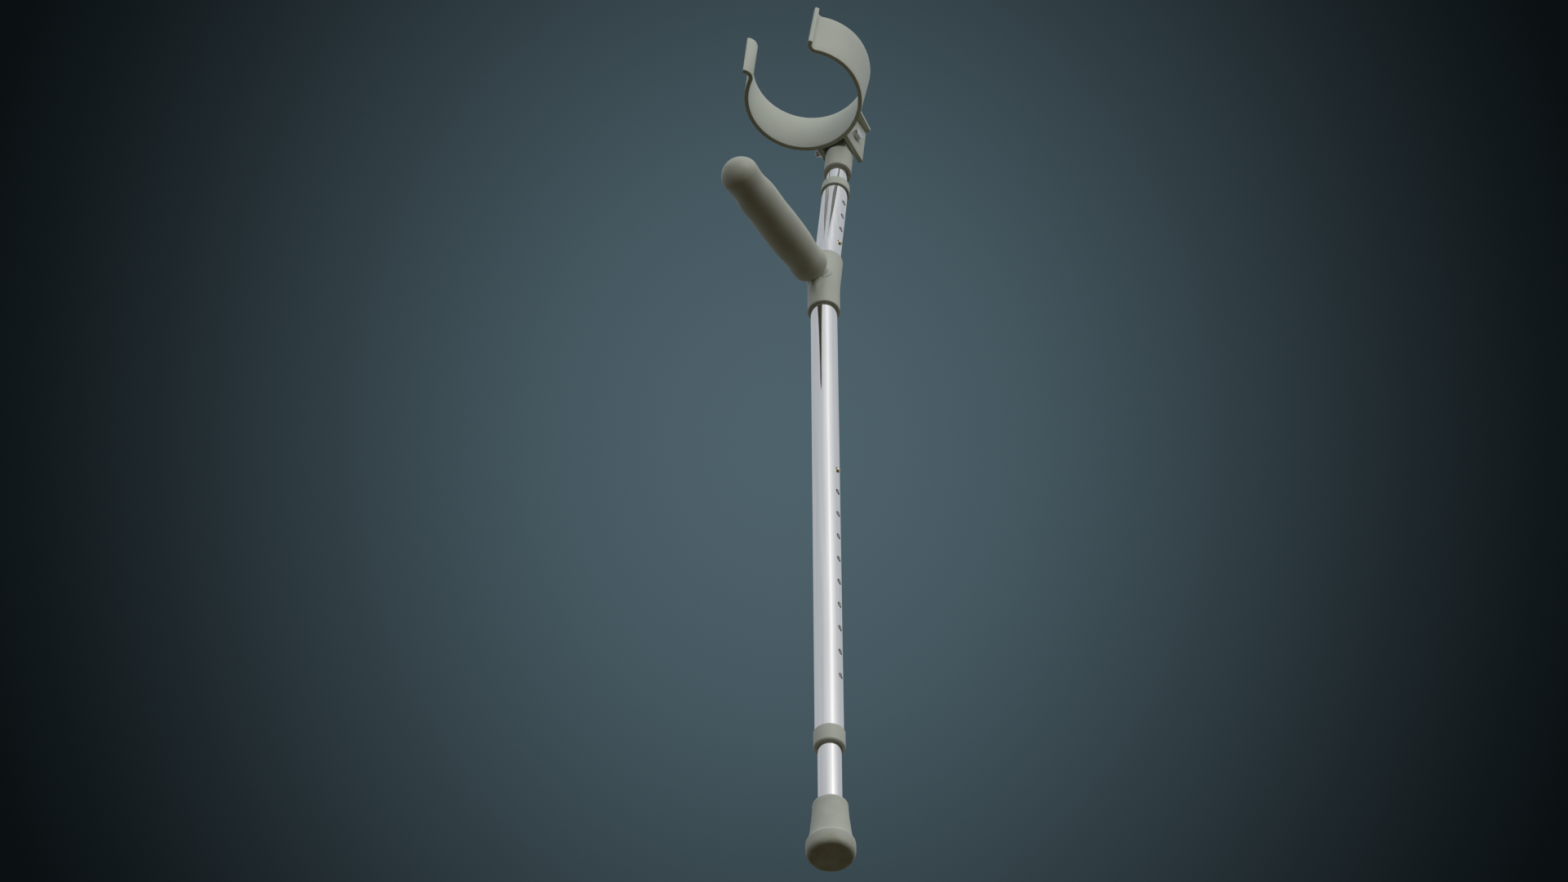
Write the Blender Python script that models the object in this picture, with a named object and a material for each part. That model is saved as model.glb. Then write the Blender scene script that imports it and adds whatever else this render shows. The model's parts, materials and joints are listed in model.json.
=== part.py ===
"""Forearm (elbow) crutch, telescopic, with a tilting open cuff.

Frame: origin at the centre of the ferrule's flat face, +Z up the lower tube,
handle towards -Y, button holes on the +X side. Lengths are in millimetres
here and multiplied by MM where a mesh or a location is made.
"""
import math

import bmesh
import bpy
from mathutils import Matrix, Vector

MM = 0.001
GAP = 0.3                     # clearance left between pieces that touch
ROUND = 32                    # sides of a tube or a turned piece
SMALL_ROUND = 16              # sides of a pin, a hole or a button
MERGE = 1e-5                  # weld distance of a turned profile, metres

# Tubes
MAIN_R = 11.0                 # outer tube, 22 mm
MAIN_BORE = 9.5
INNER_R = 9.0                 # leg tube and cuff tube, 18 mm
INNER_BORE = 7.6
MAIN_FOOT_Z = 109.5           # lower end of the outer tube
BEND_Z = 624.0                # where the two straight axes cross
LEAN = math.radians(8.1)      # rearward lean of the upper tube
BEND_R = 120.0
BEND_STEPS = 5
MAIN_TOP_S = 158.0            # upper end, along the leaning axis

# Height settings
HOLE_R = 2.5
LEG_TOP_HOLE_Z = 401.0
LEG_PITCH = 25.0
LEG_HOLES = 10
CUFF_LOW_HOLE_S = 65.0
CUFF_PITCH = 20.5
CUFF_HOLES = 4

# Leg, ferrule and lower collar
LEG_FOOT_Z = 9.0
LEG_TOP_Z = 428.0
FERRULE_R = 18.5
FERRULE_FACE_R = 14.8
COLLAR_R = 12.1
COLLAR_FOOT_Z = 105.7
COLLAR_TOP_Z = 122.0

# Upper collar and cuff stem, along the leaning axis
UPPER_COLLAR_R = 12.6
UPPER_COLLAR_FOOT_S = 148.2
UPPER_COLLAR_TOP_S = 161.0
CUFF_TUBE_FOOT_S = 38.0
SOCKET_R = 12.0
SOCKET_FOOT_S = 181.0
PIVOT_S = 232.0
SOCKET_SHOULDER = 23.5        # round body stops this far below the pivot
HEAD_R = 8.3
HEAD_HALF_X = 10.9            # pads that meet the cheeks
PAD_R = 7.2
PAD_STEP = 0.4                # pads stand proud of the head's sides
NECK_HALF = 6.0
PIVOT_SLEEVE_R = 4.2
CUFF_TUBE_TOP = 26.0          # tube end, this far below the pivot

# Handle
SLEEVE_R = 13.5
SLEEVE_BORE = 11.35
SLEEVE_FOOT_Z = 597.0
SLEEVE_TOP_S = 42.5
HANDLE_Z = 634.4
HANDLE_RISE = math.radians(4.0)
SPIGOT_R = 9.5
SPIGOT_END = 135.0
GRIP_START = 15.5
GRIP_END = 145.3
RIVET_Z = 606.0
RIVET_R = 2.2

# Cuff, in its own frame: +Y rearward, +Z along the forearm
CUFF_LEAN = math.radians(11.4)
CUFF_R = 52.0                 # outer radius at the lower rim
CUFF_WALL = 3.7
CUFF_H = 57.5
CUFF_FLARE = 1.045            # upper rim radius over lower rim radius
CUFF_FRONT = 0.94             # front half is this much shallower than round
CUFF_OPEN = math.radians(40.6)
CUFF_TURN = math.radians(2.6)     # the mouth sits this far round towards +X
LIP_R = 6.3
LIP_TURN = math.radians(102.0)
LIP_STRAIGHT = 1.8
PIVOT_V = 61.5
PIVOT_W = 18.0
CHEEK_IN = 11.2
CHEEK_OUT = 15.3
CHEEK_TOP = 45.5
CHEEK_REAR = 77.0
CHEEK_DROP = 3.5              # lower rear corner, below the band's rim
BOLT_R = 3.0
BOLT_END_X = -25.8
HEX_R = 5.0                   # corner radius of the head and the nut
HEAD_HEIGHT = 4.4
HEAD_TURN = math.radians(-6.0)

# Snap buttons
BUTTON_R = 2.2
BUTTON_OUT = 1.9              # stands this far out of the outer tube
SPRING_T = 0.8
SPRING_HALF_W = 3.0


def clear_scene():
    for obj in list(bpy.data.objects):
        bpy.data.objects.remove(obj, do_unlink=True)


def material(name, colour, roughness, metallic=0.0):
    mat = bpy.data.materials.new(name)
    mat.use_nodes = True
    shader = mat.node_tree.nodes["Principled BSDF"]
    shader.inputs["Base Color"].default_value = (*colour, 1.0)
    shader.inputs["Roughness"].default_value = roughness
    shader.inputs["Metallic"].default_value = metallic
    mat.diffuse_color = (*colour, 1.0)
    return mat


def empty(name, location=(0.0, 0.0, 0.0), tilt=0.0, parent=None):
    obj = bpy.data.objects.new(name, None)
    bpy.context.scene.collection.objects.link(obj)
    obj.location = Vector(location) * MM
    obj.rotation_euler = (-tilt, 0.0, 0.0)
    obj.parent = parent
    return obj


def add(name, bm, mat, parent=None, angle=32.0):
    """Make an object from a millimetre bmesh, with outward faces."""
    bmesh.ops.recalc_face_normals(bm, faces=bm.faces[:])
    bmesh.ops.scale(bm, vec=(MM, MM, MM), verts=bm.verts[:])
    mesh = bpy.data.meshes.new(name)
    bm.to_mesh(mesh)
    bm.free()
    mesh.materials.append(mat)
    mesh.shade_smooth()
    mesh.set_sharp_from_angle(angle=math.radians(angle))
    obj = bpy.data.objects.new(name, mesh)
    bpy.context.scene.collection.objects.link(obj)
    obj.parent = parent
    return obj


def turned(profile, sides=ROUND, matrix=None):
    """Spin a closed (radius, height) outline about Z."""
    bm = bmesh.new()
    verts = [bm.verts.new((r, 0.0, z)) for r, z in profile]
    edges = []
    for i, vert in enumerate(verts):
        after = verts[(i + 1) % len(verts)]
        on_axis = vert.co.x == 0.0 and after.co.x == 0.0
        if not on_axis:
            edges.append(bm.edges.new((vert, after)))
    bmesh.ops.spin(
        bm, geom=verts + edges, angle=math.tau, steps=sides,
        axis=(0.0, 0.0, 1.0), cent=(0.0, 0.0, 0.0), use_merge=True)
    bmesh.ops.remove_doubles(bm, verts=bm.verts[:], dist=MERGE / MM)
    if matrix is not None:
        bmesh.ops.transform(bm, matrix=matrix, verts=bm.verts[:])
    return bm


def prism(outline, low, high, to_point):
    """Extrude a closed 2D outline between two heights of a third axis."""
    bm = bmesh.new()
    bottom = [bm.verts.new(to_point(a, b, low)) for a, b in outline]
    top = [bm.verts.new(to_point(a, b, high)) for a, b in outline]
    bm.faces.new(bottom)
    bm.faces.new(top)
    for i in range(len(outline)):
        j = (i + 1) % len(outline)
        bm.faces.new((bottom[i], bottom[j], top[j], top[i]))
    return bm


def main_path(foot_z, top_s):
    """Stations of the bent axis: (point, lean angle)."""
    tangent = BEND_R * math.tan(LEAN / 2.0)
    stations = [(Vector((0.0, 0.0, foot_z)), 0.0)]
    for i in range(BEND_STEPS + 1):
        a = LEAN * i / BEND_STEPS
        point = Vector((
            0.0,
            BEND_R * (1.0 - math.cos(a)),
            BEND_Z - tangent + BEND_R * math.sin(a)))
        stations.append((point, a))
    stations.append((along_upper(top_s), LEAN))
    return stations


def along_upper(s):
    """Point on the leaning upper axis, s from the crossing of the axes."""
    return Vector((0.0, s * math.sin(LEAN), BEND_Z + s * math.cos(LEAN)))


def bent_tube(stations, outer, bore, sides=ROUND):
    """Sweep an annulus along the stations; one closed hollow body."""
    bm = bmesh.new()
    rings = []
    for point, lean in stations:
        across = Vector((1.0, 0.0, 0.0))
        behind = Vector((0.0, math.cos(lean), -math.sin(lean)))
        pair = []
        for radius in (outer, bore):
            ring = []
            for k in range(sides):
                a = math.tau * k / sides
                arm = across * math.cos(a) + behind * math.sin(a)
                ring.append(bm.verts.new(point + arm * radius))
            pair.append(ring)
        rings.append(pair)
    for k in range(sides):
        n = (k + 1) % sides
        for first, second in zip(rings, rings[1:]):
            for wall in (0, 1):
                bm.faces.new((
                    first[wall][k], first[wall][n],
                    second[wall][n], second[wall][k]))
        for pair in (rings[0], rings[-1]):
            bm.faces.new((pair[0][k], pair[0][n], pair[1][n], pair[1][k]))
    return bm


def rod_between(start, end, radius, sides=SMALL_ROUND):
    """Solid round bar between two points."""
    start = Vector(start)
    end = Vector(end)
    axis = end - start
    turn = Vector((0.0, 0.0, 1.0)).rotation_difference(axis.normalized())
    place = Matrix.Translation((start + end) / 2.0) @ turn.to_matrix().to_4x4()
    bm = bmesh.new()
    bmesh.ops.create_cone(
        bm, cap_ends=True, cap_tris=False, segments=sides,
        radius1=radius, radius2=radius, depth=axis.length, matrix=place)
    return bm


def merged(parts):
    """Put several bmeshes into one."""
    whole = bmesh.new()
    for part in parts:
        mesh = bpy.data.meshes.new("scratch")
        part.to_mesh(mesh)
        part.free()
        whole.from_mesh(mesh)
        bpy.data.meshes.remove(mesh)
    return whole


def boolean(obj, other, operation):
    mod = obj.modifiers.new(operation.title(), "BOOLEAN")
    mod.operation = operation
    mod.solver = "EXACT"
    mod.object = other
    return mod


def cutter(name, bm, mat, parent=None):
    obj = add(name, bm, mat, parent)
    obj.hide_render = True
    obj.display_type = "WIRE"
    return obj


def fillet(centre, radius, start, end, steps):
    """Points of an arc in a turned profile, angles in degrees."""
    points = []
    for i in range(steps + 1):
        a = math.radians(start + (end - start) * i / steps)
        points.append((
            centre[0] + radius * math.cos(a),
            centre[1] + radius * math.sin(a)))
    return points


def snap_button(name, mat, parent):
    """Domed pin: flange inside the inner tube, head out of the outer one."""
    tip = MAIN_R + BUTTON_OUT
    dome = fillet((BUTTON_R - 1.4, tip - 1.4), 1.4, 0.0, 90.0, 4)
    profile = [(0.0, 5.7), (3.3, 5.7), (3.3, 6.2), (BUTTON_R, 6.2)]
    profile += dome
    profile.append((0.0, tip))
    to_x = Matrix.Rotation(math.pi / 2.0, 4, "Y")
    return add(name, turned(profile, SMALL_ROUND, to_x), mat, parent)


def snap_spring(name, mat, parent, way):
    """V strip inside the inner tube; its bend lies way (+1 or -1) along Z."""
    button_x = 5.3
    far_x = -6.4
    bend_z = -34.0
    middle = (button_x + far_x) / 2.0
    bend_r = 3.2
    line = [(button_x - SPRING_T / 2.0, 4.5)]
    for i in range(9):
        a = -math.pi * i / 8.0
        line.append((
            middle + bend_r * math.cos(a), bend_z + bend_r * math.sin(a)))
    line.append((far_x + SPRING_T / 2.0, -4.0))
    outline = offset_strip(line, SPRING_T / 2.0)
    bm = prism(
        outline, -SPRING_HALF_W, SPRING_HALF_W,
        lambda a, b, c: (a, c, -way * b))
    return add(name, bm, mat, parent)


def hexagon(radius, turn):
    """Corners of a hexagon in a piece's (y, z) plane."""
    corners = []
    for k in range(6):
        a = math.tau * k / 6.0 + turn
        corners.append((radius * math.cos(a), radius * math.sin(a)))
    return corners


def offset_strip(line, half):
    """Closed outline of a strip of half-width half along a polyline."""
    left = []
    right = []
    for i, point in enumerate(line):
        before = Vector(line[max(i - 1, 0)])
        after = Vector(line[min(i + 1, len(line) - 1)])
        way = (after - before).normalized()
        side = Vector((-way.y, way.x)) * half
        left.append(Vector(point) + side)
        right.append(Vector(point) - side)
    return [tuple(p) for p in left + right[::-1]]


def cuff_line():
    """Middle line of the band's wall at the lower rim, lip to lip."""
    mid = CUFF_R - CUFF_WALL / 2.0
    half = []
    steps = 40
    for i in range(steps + 1):
        a = math.pi / 2.0 - (math.pi - CUFF_OPEN) * i / steps
        depth = CUFF_FRONT if a < 0.0 else 1.0
        half.append(Vector((mid * math.cos(a), mid * depth * math.sin(a))))
    end = half[-1]
    way = (end - half[-2]).normalized()
    out = Vector((-way.y, way.x))
    lip_steps = 10
    for i in range(1, lip_steps + 1):
        a = LIP_TURN * i / lip_steps
        half.append(
            end + out * LIP_R * (1.0 - math.cos(a)) + way * LIP_R * math.sin(a))
    heading = way * math.cos(LIP_TURN) + out * math.sin(LIP_TURN)
    half.append(half[-1] + heading * LIP_STRAIGHT)
    mirrored = [Vector((-p.x, p.y)) for p in half[:0:-1]]
    turn = Matrix.Rotation(CUFF_TURN, 2)
    return [tuple(turn @ p) for p in mirrored + half]


def cuff_point(x, v, w):
    """Flare: the band's plan grows evenly towards the upper rim."""
    grow = 1.0 + (CUFF_FLARE - 1.0) * w / CUFF_H
    return (x * grow, v * grow, w)


clear_scene()

PLASTIC = (0.46, 0.48, 0.42)
ALUMINIUM = (0.78, 0.77, 0.80)
plastic = material("grey_plastic", PLASTIC, 0.42)
grip_plastic = material("grip_vinyl", (0.45, 0.46, 0.41), 0.5)
rubber = material("ferrule_rubber", (0.36, 0.38, 0.34), 0.62)
aluminium = material("anodised_aluminium", ALUMINIUM, 0.28, 1.0)
brass = material("button_brass", (0.62, 0.52, 0.34), 0.34, 1.0)
steel = material("zinc_steel", (0.62, 0.62, 0.64), 0.36, 1.0)
nylon = material("white_nylon", (0.74, 0.74, 0.72), 0.5)

leg_frame = empty("leg_frame")
leg_button_frame = empty(
    "leg_button_frame", (0.0, 0.0, LEG_TOP_HOLE_Z), 0.0, leg_frame)
upper_frame = empty("upper_frame", (0.0, 0.0, BEND_Z), LEAN)
stem_frame = empty("stem_frame", (0.0, 0.0, 0.0), 0.0, upper_frame)
cuff_button_frame = empty(
    "cuff_button_frame", (0.0, 0.0, CUFF_LOW_HOLE_S), 0.0, stem_frame)
pivot_frame = empty(
    "pivot_frame", (0.0, 0.0, PIVOT_S), CUFF_LEAN - LEAN, stem_frame)
cuff_frame = empty(
    "cuff_frame", (0.0, -PIVOT_V, -PIVOT_W), 0.0, pivot_frame)
handle_frame = empty("handle_frame", (0.0, 0.0, HANDLE_Z))
handle_frame.rotation_euler = (math.pi / 2.0 - HANDLE_RISE, 0.0, 0.0)

# ---------------------------------------------------------------- main tube
main_tube = add(
    "main_tube",
    bent_tube(main_path(MAIN_FOOT_Z, MAIN_TOP_S), MAIN_R, MAIN_BORE),
    aluminium)
hole_bars = []
for i in range(LEG_HOLES):
    z = LEG_TOP_HOLE_Z - LEG_PITCH * i
    hole_bars.append(rod_between((5.0, 0.0, z), (15.0, 0.0, z), HOLE_R))
for i in range(CUFF_HOLES):
    level = along_upper(CUFF_LOW_HOLE_S + CUFF_PITCH * i)
    hole_bars.append(rod_between(
        level + Vector((5.0, 0.0, 0.0)), level + Vector((15.0, 0.0, 0.0)),
        HOLE_R))
hole_bars.append(rod_between(
    (0.0, 5.0, RIVET_Z), (0.0, 20.0, RIVET_Z), RIVET_R + GAP))
hole_cutter = cutter("main_hole_cutter", merged(hole_bars), steel)
boolean(main_tube, hole_cutter, "DIFFERENCE")

# ------------------------------------------------------------ lower collar
lower_profile = [(INNER_R + GAP, COLLAR_FOOT_Z)]
lower_profile += fillet(
    (COLLAR_R - 2.6, COLLAR_FOOT_Z + 2.6), 2.6, -90.0, 0.0, 5)
lower_profile += fillet(
    (COLLAR_R - 0.7, COLLAR_TOP_Z - 0.7), 0.7, 0.0, 90.0, 3)
lower_profile += [
    (MAIN_R + GAP, COLLAR_TOP_Z),
    (MAIN_R + GAP, MAIN_FOOT_Z - GAP),
    (INNER_R + GAP, MAIN_FOOT_Z - GAP)]
add("lower_collar", turned(lower_profile), plastic)

# ------------------------------------------------------------ upper collar
top_lip = UPPER_COLLAR_TOP_S
upper_profile = [
    (MAIN_R + GAP, UPPER_COLLAR_FOOT_S),
    (UPPER_COLLAR_R - 0.6, UPPER_COLLAR_FOOT_S),
    (UPPER_COLLAR_R, UPPER_COLLAR_FOOT_S + 0.8)]
upper_profile += fillet(
    (UPPER_COLLAR_R - 3.1, top_lip - 2.7), 2.7, 0.0, 90.0, 6)
upper_profile += [
    (INNER_R + GAP, top_lip),
    (INNER_R + GAP, MAIN_TOP_S + GAP),
    (MAIN_R + GAP, MAIN_TOP_S + GAP)]
add("upper_collar", turned(upper_profile), plastic, upper_frame)

# ---------------------------------------------------------- handle bracket
bracket = add(
    "handle_bracket",
    bent_tube(main_path(SLEEVE_FOOT_Z, SLEEVE_TOP_S), SLEEVE_R, SLEEVE_BORE),
    plastic)
arm_profile = [(0.0, 12.0), (11.6, 12.0)]
arm_profile += [(11.0, 13.2), (10.6, 14.4), (10.4, 15.2)]
arm_profile += [(SPIGOT_R, 15.2)]
arm_profile += fillet(
    (SPIGOT_R - 1.5, SPIGOT_END - 1.5), 1.5, 0.0, 90.0, 4)
arm_profile.append((0.0, SPIGOT_END))
arm = cutter("handle_arm_union", turned(arm_profile), plastic, handle_frame)
boolean(bracket, arm, "UNION")
web = cutter(
    "handle_web_union",
    prism(
        [(-12.3, 606.0), (-13.9, 611.0), (-14.7, 617.0), (-12.3, 626.0)],
        -3.0, 3.0, lambda a, b, c: (c, a, b)),
    plastic)
boolean(bracket, web, "UNION")
rivet_cutter = cutter(
    "rivet_cutter",
    rod_between((0.0, 8.0, RIVET_Z), (0.0, 20.0, RIVET_Z), RIVET_R + GAP),
    steel)
boolean(bracket, rivet_cutter, "DIFFERENCE")

rivet_profile = [(0.0, 7.4), (3.4, 7.4), (3.4, 8.6), (RIVET_R, 9.1)]
rivet_profile += [(RIVET_R, SLEEVE_R + GAP), (4.4, SLEEVE_R + GAP)]
rivet_profile += [(4.2, 14.6), (3.3, 15.3), (1.8, 15.7), (0.0, 15.8)]
to_rear = Matrix.Translation((0.0, 0.0, RIVET_Z))
to_rear = to_rear @ Matrix.Rotation(-math.pi / 2.0, 4, "X")
add("bracket_rivet", turned(rivet_profile, SMALL_ROUND, to_rear), steel)

# -------------------------------------------------------------------- grip
GRIP_SKIN = [
    (16.2, 13.6), (18.0, 14.9), (21.0, 15.6), (26.0, 16.0), (29.0, 15.7),
    (32.0, 15.3), (36.0, 15.4), (40.0, 15.8), (46.0, 16.4), (54.0, 16.8),
    (76.0, 16.8), (84.0, 16.5), (92.0, 16.7), (100.0, 17.0), (106.0, 16.8),
    (111.0, 16.1), (116.0, 15.4), (121.0, 15.3), (126.0, 15.8),
    (130.0, 16.1), (133.0, 15.9), (136.0, 14.7), (138.5, 13.0),
    (141.0, 10.6), (143.3, 7.2), (144.8, 3.6)]
grip_profile = [(SPIGOT_R + GAP, GRIP_START), (11.8, GRIP_START)]
grip_profile += [(r, s) for s, r in GRIP_SKIN]
grip_profile += [(0.0, GRIP_END), (0.0, SPIGOT_END + 1.0)]
grip_profile += [(SPIGOT_R + GAP, SPIGOT_END + 1.0)]
add("grip", turned(grip_profile), grip_plastic, handle_frame, angle=40.0)

# --------------------------------------------------------------------- leg
leg_tube = add(
    "leg_tube",
    turned([
        (INNER_BORE, LEG_FOOT_Z), (INNER_R, LEG_FOOT_Z),
        (INNER_R, LEG_TOP_Z), (INNER_BORE, LEG_TOP_Z)]),
    aluminium, leg_frame)
leg_hole = cutter(
    "leg_hole_cutter",
    rod_between(
        (5.0, 0.0, LEG_TOP_HOLE_Z), (12.0, 0.0, LEG_TOP_HOLE_Z), HOLE_R),
    steel, leg_frame)
boolean(leg_tube, leg_hole, "DIFFERENCE")

add(
    "leg_guide",
    turned([
        (5.2, LEG_TOP_Z - 14.0), (INNER_BORE - GAP, LEG_TOP_Z - 14.0),
        (INNER_BORE - GAP, LEG_TOP_Z + GAP), (MAIN_BORE - GAP, LEG_TOP_Z + GAP),
        (MAIN_BORE - GAP, LEG_TOP_Z + 3.0), (8.4, LEG_TOP_Z + 4.0),
        (5.2, LEG_TOP_Z + 4.0)]),
    nylon, leg_frame)

ferrule_profile = [(0.0, 0.0), (FERRULE_FACE_R, 0.0)]
ferrule_profile += [
    (16.2, 0.5), (17.4, 1.6), (18.2, 3.3), (FERRULE_R, 5.6),
    (FERRULE_R, 12.2), (18.2, 13.3), (17.4, 14.2), (16.9, 15.4),
    (15.6, 23.0), (14.5, 33.0), (13.8, 41.0), (13.5, 46.5)]
ferrule_profile += fillet((10.5, 48.5), 3.0, 4.0, 90.0, 6)
ferrule_profile += [
    (INNER_R + GAP, 51.5), (INNER_R + GAP, LEG_FOOT_Z - 2.4),
    (0.0, LEG_FOOT_Z - 2.4)]
add("ferrule", turned(ferrule_profile), rubber, leg_frame)

add(
    "ferrule_washer",
    turned([
        (0.0, LEG_FOOT_Z - 2.1), (INNER_R - 0.1, LEG_FOOT_Z - 2.1),
        (INNER_R - 0.1, LEG_FOOT_Z - GAP), (0.0, LEG_FOOT_Z - GAP)]),
    steel, leg_frame)

snap_button("leg_button", brass, leg_button_frame)
snap_spring("leg_spring", steel, leg_button_frame, -1.0)

# --------------------------------------------------------------- cuff stem
cuff_tube = add(
    "cuff_tube",
    turned([
        (INNER_BORE, CUFF_TUBE_FOOT_S), (INNER_R, CUFF_TUBE_FOOT_S),
        (INNER_R, PIVOT_S - CUFF_TUBE_TOP), (INNER_BORE, PIVOT_S - CUFF_TUBE_TOP)]),
    aluminium, stem_frame)
cuff_hole = cutter(
    "cuff_hole_cutter",
    rod_between(
        (5.0, 0.0, CUFF_LOW_HOLE_S), (12.0, 0.0, CUFF_LOW_HOLE_S), HOLE_R),
    steel, stem_frame)
boolean(cuff_tube, cuff_hole, "DIFFERENCE")

guide_s = CUFF_TUBE_FOOT_S
add(
    "cuff_guide",
    turned([
        (5.2, guide_s - 4.0), (8.4, guide_s - 4.0),
        (MAIN_BORE - GAP, guide_s - 3.0), (MAIN_BORE - GAP, guide_s - GAP),
        (INNER_BORE - GAP, guide_s - GAP), (INNER_BORE - GAP, guide_s + 10.0),
        (5.2, guide_s + 10.0)]),
    nylon, stem_frame)

snap_button("cuff_button", brass, cuff_button_frame)
snap_spring("cuff_spring", steel, cuff_button_frame, 1.0)

body_top = PIVOT_S - SOCKET_SHOULDER
tube_top = PIVOT_S - CUFF_TUBE_TOP
crown = PIVOT_S + HEAD_R + 0.4
socket_profile = [(INNER_R + GAP, SOCKET_FOOT_S)]
socket_profile += [(SOCKET_R - 0.4, SOCKET_FOOT_S)]
socket_profile += [(SOCKET_R, SOCKET_FOOT_S + 0.4)]
socket_profile += fillet((SOCKET_R - 2.0, crown - 2.0), 2.0, 0.0, 90.0, 4)
socket_profile += [
    (0.0, crown), (0.0, tube_top + GAP), (INNER_R + GAP, tube_top + GAP)]
off_grid = Matrix.Rotation(math.radians(2.0), 4, "Z")
socket = add(
    "cuff_socket", turned(socket_profile, matrix=off_grid), plastic,
    stem_frame)
keep = [(-20.0, SOCKET_FOOT_S - 5.0), (20.0, SOCKET_FOOT_S - 5.0)]
keep += [(20.0, body_top), (NECK_HALF, body_top)]
for i in range(16):
    a = math.radians(-14.0 + 208.0 * i / 15.0)
    keep.append((HEAD_R * math.cos(a), PIVOT_S + HEAD_R * math.sin(a)))
keep += [(-NECK_HALF, body_top), (-20.0, body_top)]
head_keep = cutter(
    "socket_head_keep",
    prism(keep, -15.0, 15.0, lambda a, b, c: (c, a, b)),
    plastic, stem_frame)
boolean(socket, head_keep, "INTERSECT")
head_side = HEAD_HALF_X - PAD_STEP
for side, label in ((-1.0, "left"), (1.0, "right")):
    side_cut = cutter(
        "socket_" + label + "_cutter",
        prism(
            [(side * head_side, body_top - 0.2), (side * 20.0, body_top - 8.0),
             (side * 20.0, crown + 5.0), (side * head_side, crown + 5.0)],
            -15.0, 15.0, lambda a, b, c: (a, c, b)),
        plastic, stem_frame)
    boolean(socket, side_cut, "DIFFERENCE")
pads = cutter(
    "socket_pad_union",
    rod_between(
        (-HEAD_HALF_X, 0.0, PIVOT_S), (HEAD_HALF_X, 0.0, PIVOT_S),
        PAD_R, 32),
    plastic, stem_frame)
boolean(socket, pads, "UNION")
pivot_bore = cutter(
    "pivot_bore_cutter",
    rod_between(
        (-15.0, 0.0, PIVOT_S), (15.0, 0.0, PIVOT_S), PIVOT_SLEEVE_R + GAP),
    plastic, stem_frame)
boolean(socket, pivot_bore, "DIFFERENCE")

to_side = Matrix.Translation((0.0, 0.0, PIVOT_S))
to_side = to_side @ Matrix.Rotation(math.pi / 2.0, 4, "Y")
add(
    "pivot_sleeve",
    turned([
        (BOLT_R + GAP, -HEAD_HALF_X), (PIVOT_SLEEVE_R, -HEAD_HALF_X),
        (PIVOT_SLEEVE_R, HEAD_HALF_X), (BOLT_R + GAP, HEAD_HALF_X)],
        SMALL_ROUND, to_side),
    steel, stem_frame)

# -------------------------------------------------------------------- cuff
band = prism(
    offset_strip(cuff_line(), CUFF_WALL / 2.0), 0.0, CUFF_H, cuff_point)
cuff = add("cuff_shell", band, plastic, cuff_frame, angle=30.0)
for side, label in ((-1.0, "left"), (1.0, "right")):
    cheek = cutter(
        "cheek_" + label + "_union",
        prism(
            [(48.4, 0.0), (51.0, 0.0), (CHEEK_REAR, -CHEEK_DROP),
             (CHEEK_REAR - 2.4, CHEEK_TOP), (50.2, CHEEK_TOP)],
            side * CHEEK_IN, side * CHEEK_OUT,
            lambda a, b, c: (c, a, b)),
        plastic, cuff_frame)
    boolean(cuff, cheek, "UNION")
roof_outline = []
for i in range(11):
    x = -22.5 + 4.5 * i
    roof_outline.append((x, math.sqrt(52.2 ** 2 - x ** 2)))
roof_outline += [(19.4, CHEEK_REAR - 2.0), (-19.4, CHEEK_REAR - 2.0)]
roof = cutter(
    "roof_union",
    prism(
        roof_outline, CHEEK_TOP - 0.8, CHEEK_TOP + 2.4,
        lambda a, b, c: (a, b, c)),
    plastic, cuff_frame)
boolean(cuff, roof, "UNION")
bolt_bore = cutter(
    "cheek_bore_cutter",
    rod_between(
        (-20.0, PIVOT_V, PIVOT_W), (20.0, PIVOT_V, PIVOT_W), BOLT_R + GAP),
    plastic, cuff_frame)
boolean(cuff, bolt_bore, "DIFFERENCE")

# -------------------------------------------------------------- pivot bolt
head_x = CHEEK_OUT + GAP
bolt = add(
    "pivot_bolt",
    rod_between((BOLT_END_X, 0.0, 0.0), (head_x + 1.0, 0.0, 0.0), BOLT_R),
    steel, pivot_frame)
head = cutter(
    "bolt_head_union",
    prism(
        hexagon(HEX_R, HEAD_TURN), head_x, head_x + HEAD_HEIGHT,
        lambda a, b, c: (c, a, b)),
    steel, pivot_frame)
boolean(bolt, head, "UNION")

washer_x = -CHEEK_OUT - GAP
to_left = Matrix.Rotation(-math.pi / 2.0, 4, "Y")
add(
    "pivot_washer",
    turned([
        (BOLT_R + GAP, -washer_x), (6.2, -washer_x),
        (6.2, -washer_x + 1.2), (BOLT_R + GAP, -washer_x + 1.2)],
        SMALL_ROUND, to_left),
    steel, pivot_frame)
nut_start = washer_x - 1.2 - GAP
nut = add(
    "pivot_nut",
    prism(
        hexagon(HEX_R, math.pi / 6.0), nut_start - 4.6, nut_start,
        lambda a, b, c: (c, a, b)),
    steel, pivot_frame)
nut_bore = cutter(
    "nut_bore_cutter",
    rod_between(
        (nut_start - 8.0, 0.0, 0.0), (nut_start + 3.0, 0.0, 0.0),
        BOLT_R + GAP),
    steel, pivot_frame)
boolean(nut, nut_bore, "DIFFERENCE")
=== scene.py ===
"""Forearm crutch: the visual model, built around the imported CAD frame.

Every piece sits in the CAD's own frame: origin at the centre of the ferrule's
flat face, +Z up the lower tube, handle towards -Y, button holes on +X.
Lengths are in millimetres here and multiplied by MM where a mesh or a
location is made.
"""
import json
import math

import bmesh
import bpy
from mathutils import Matrix, Vector

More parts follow.
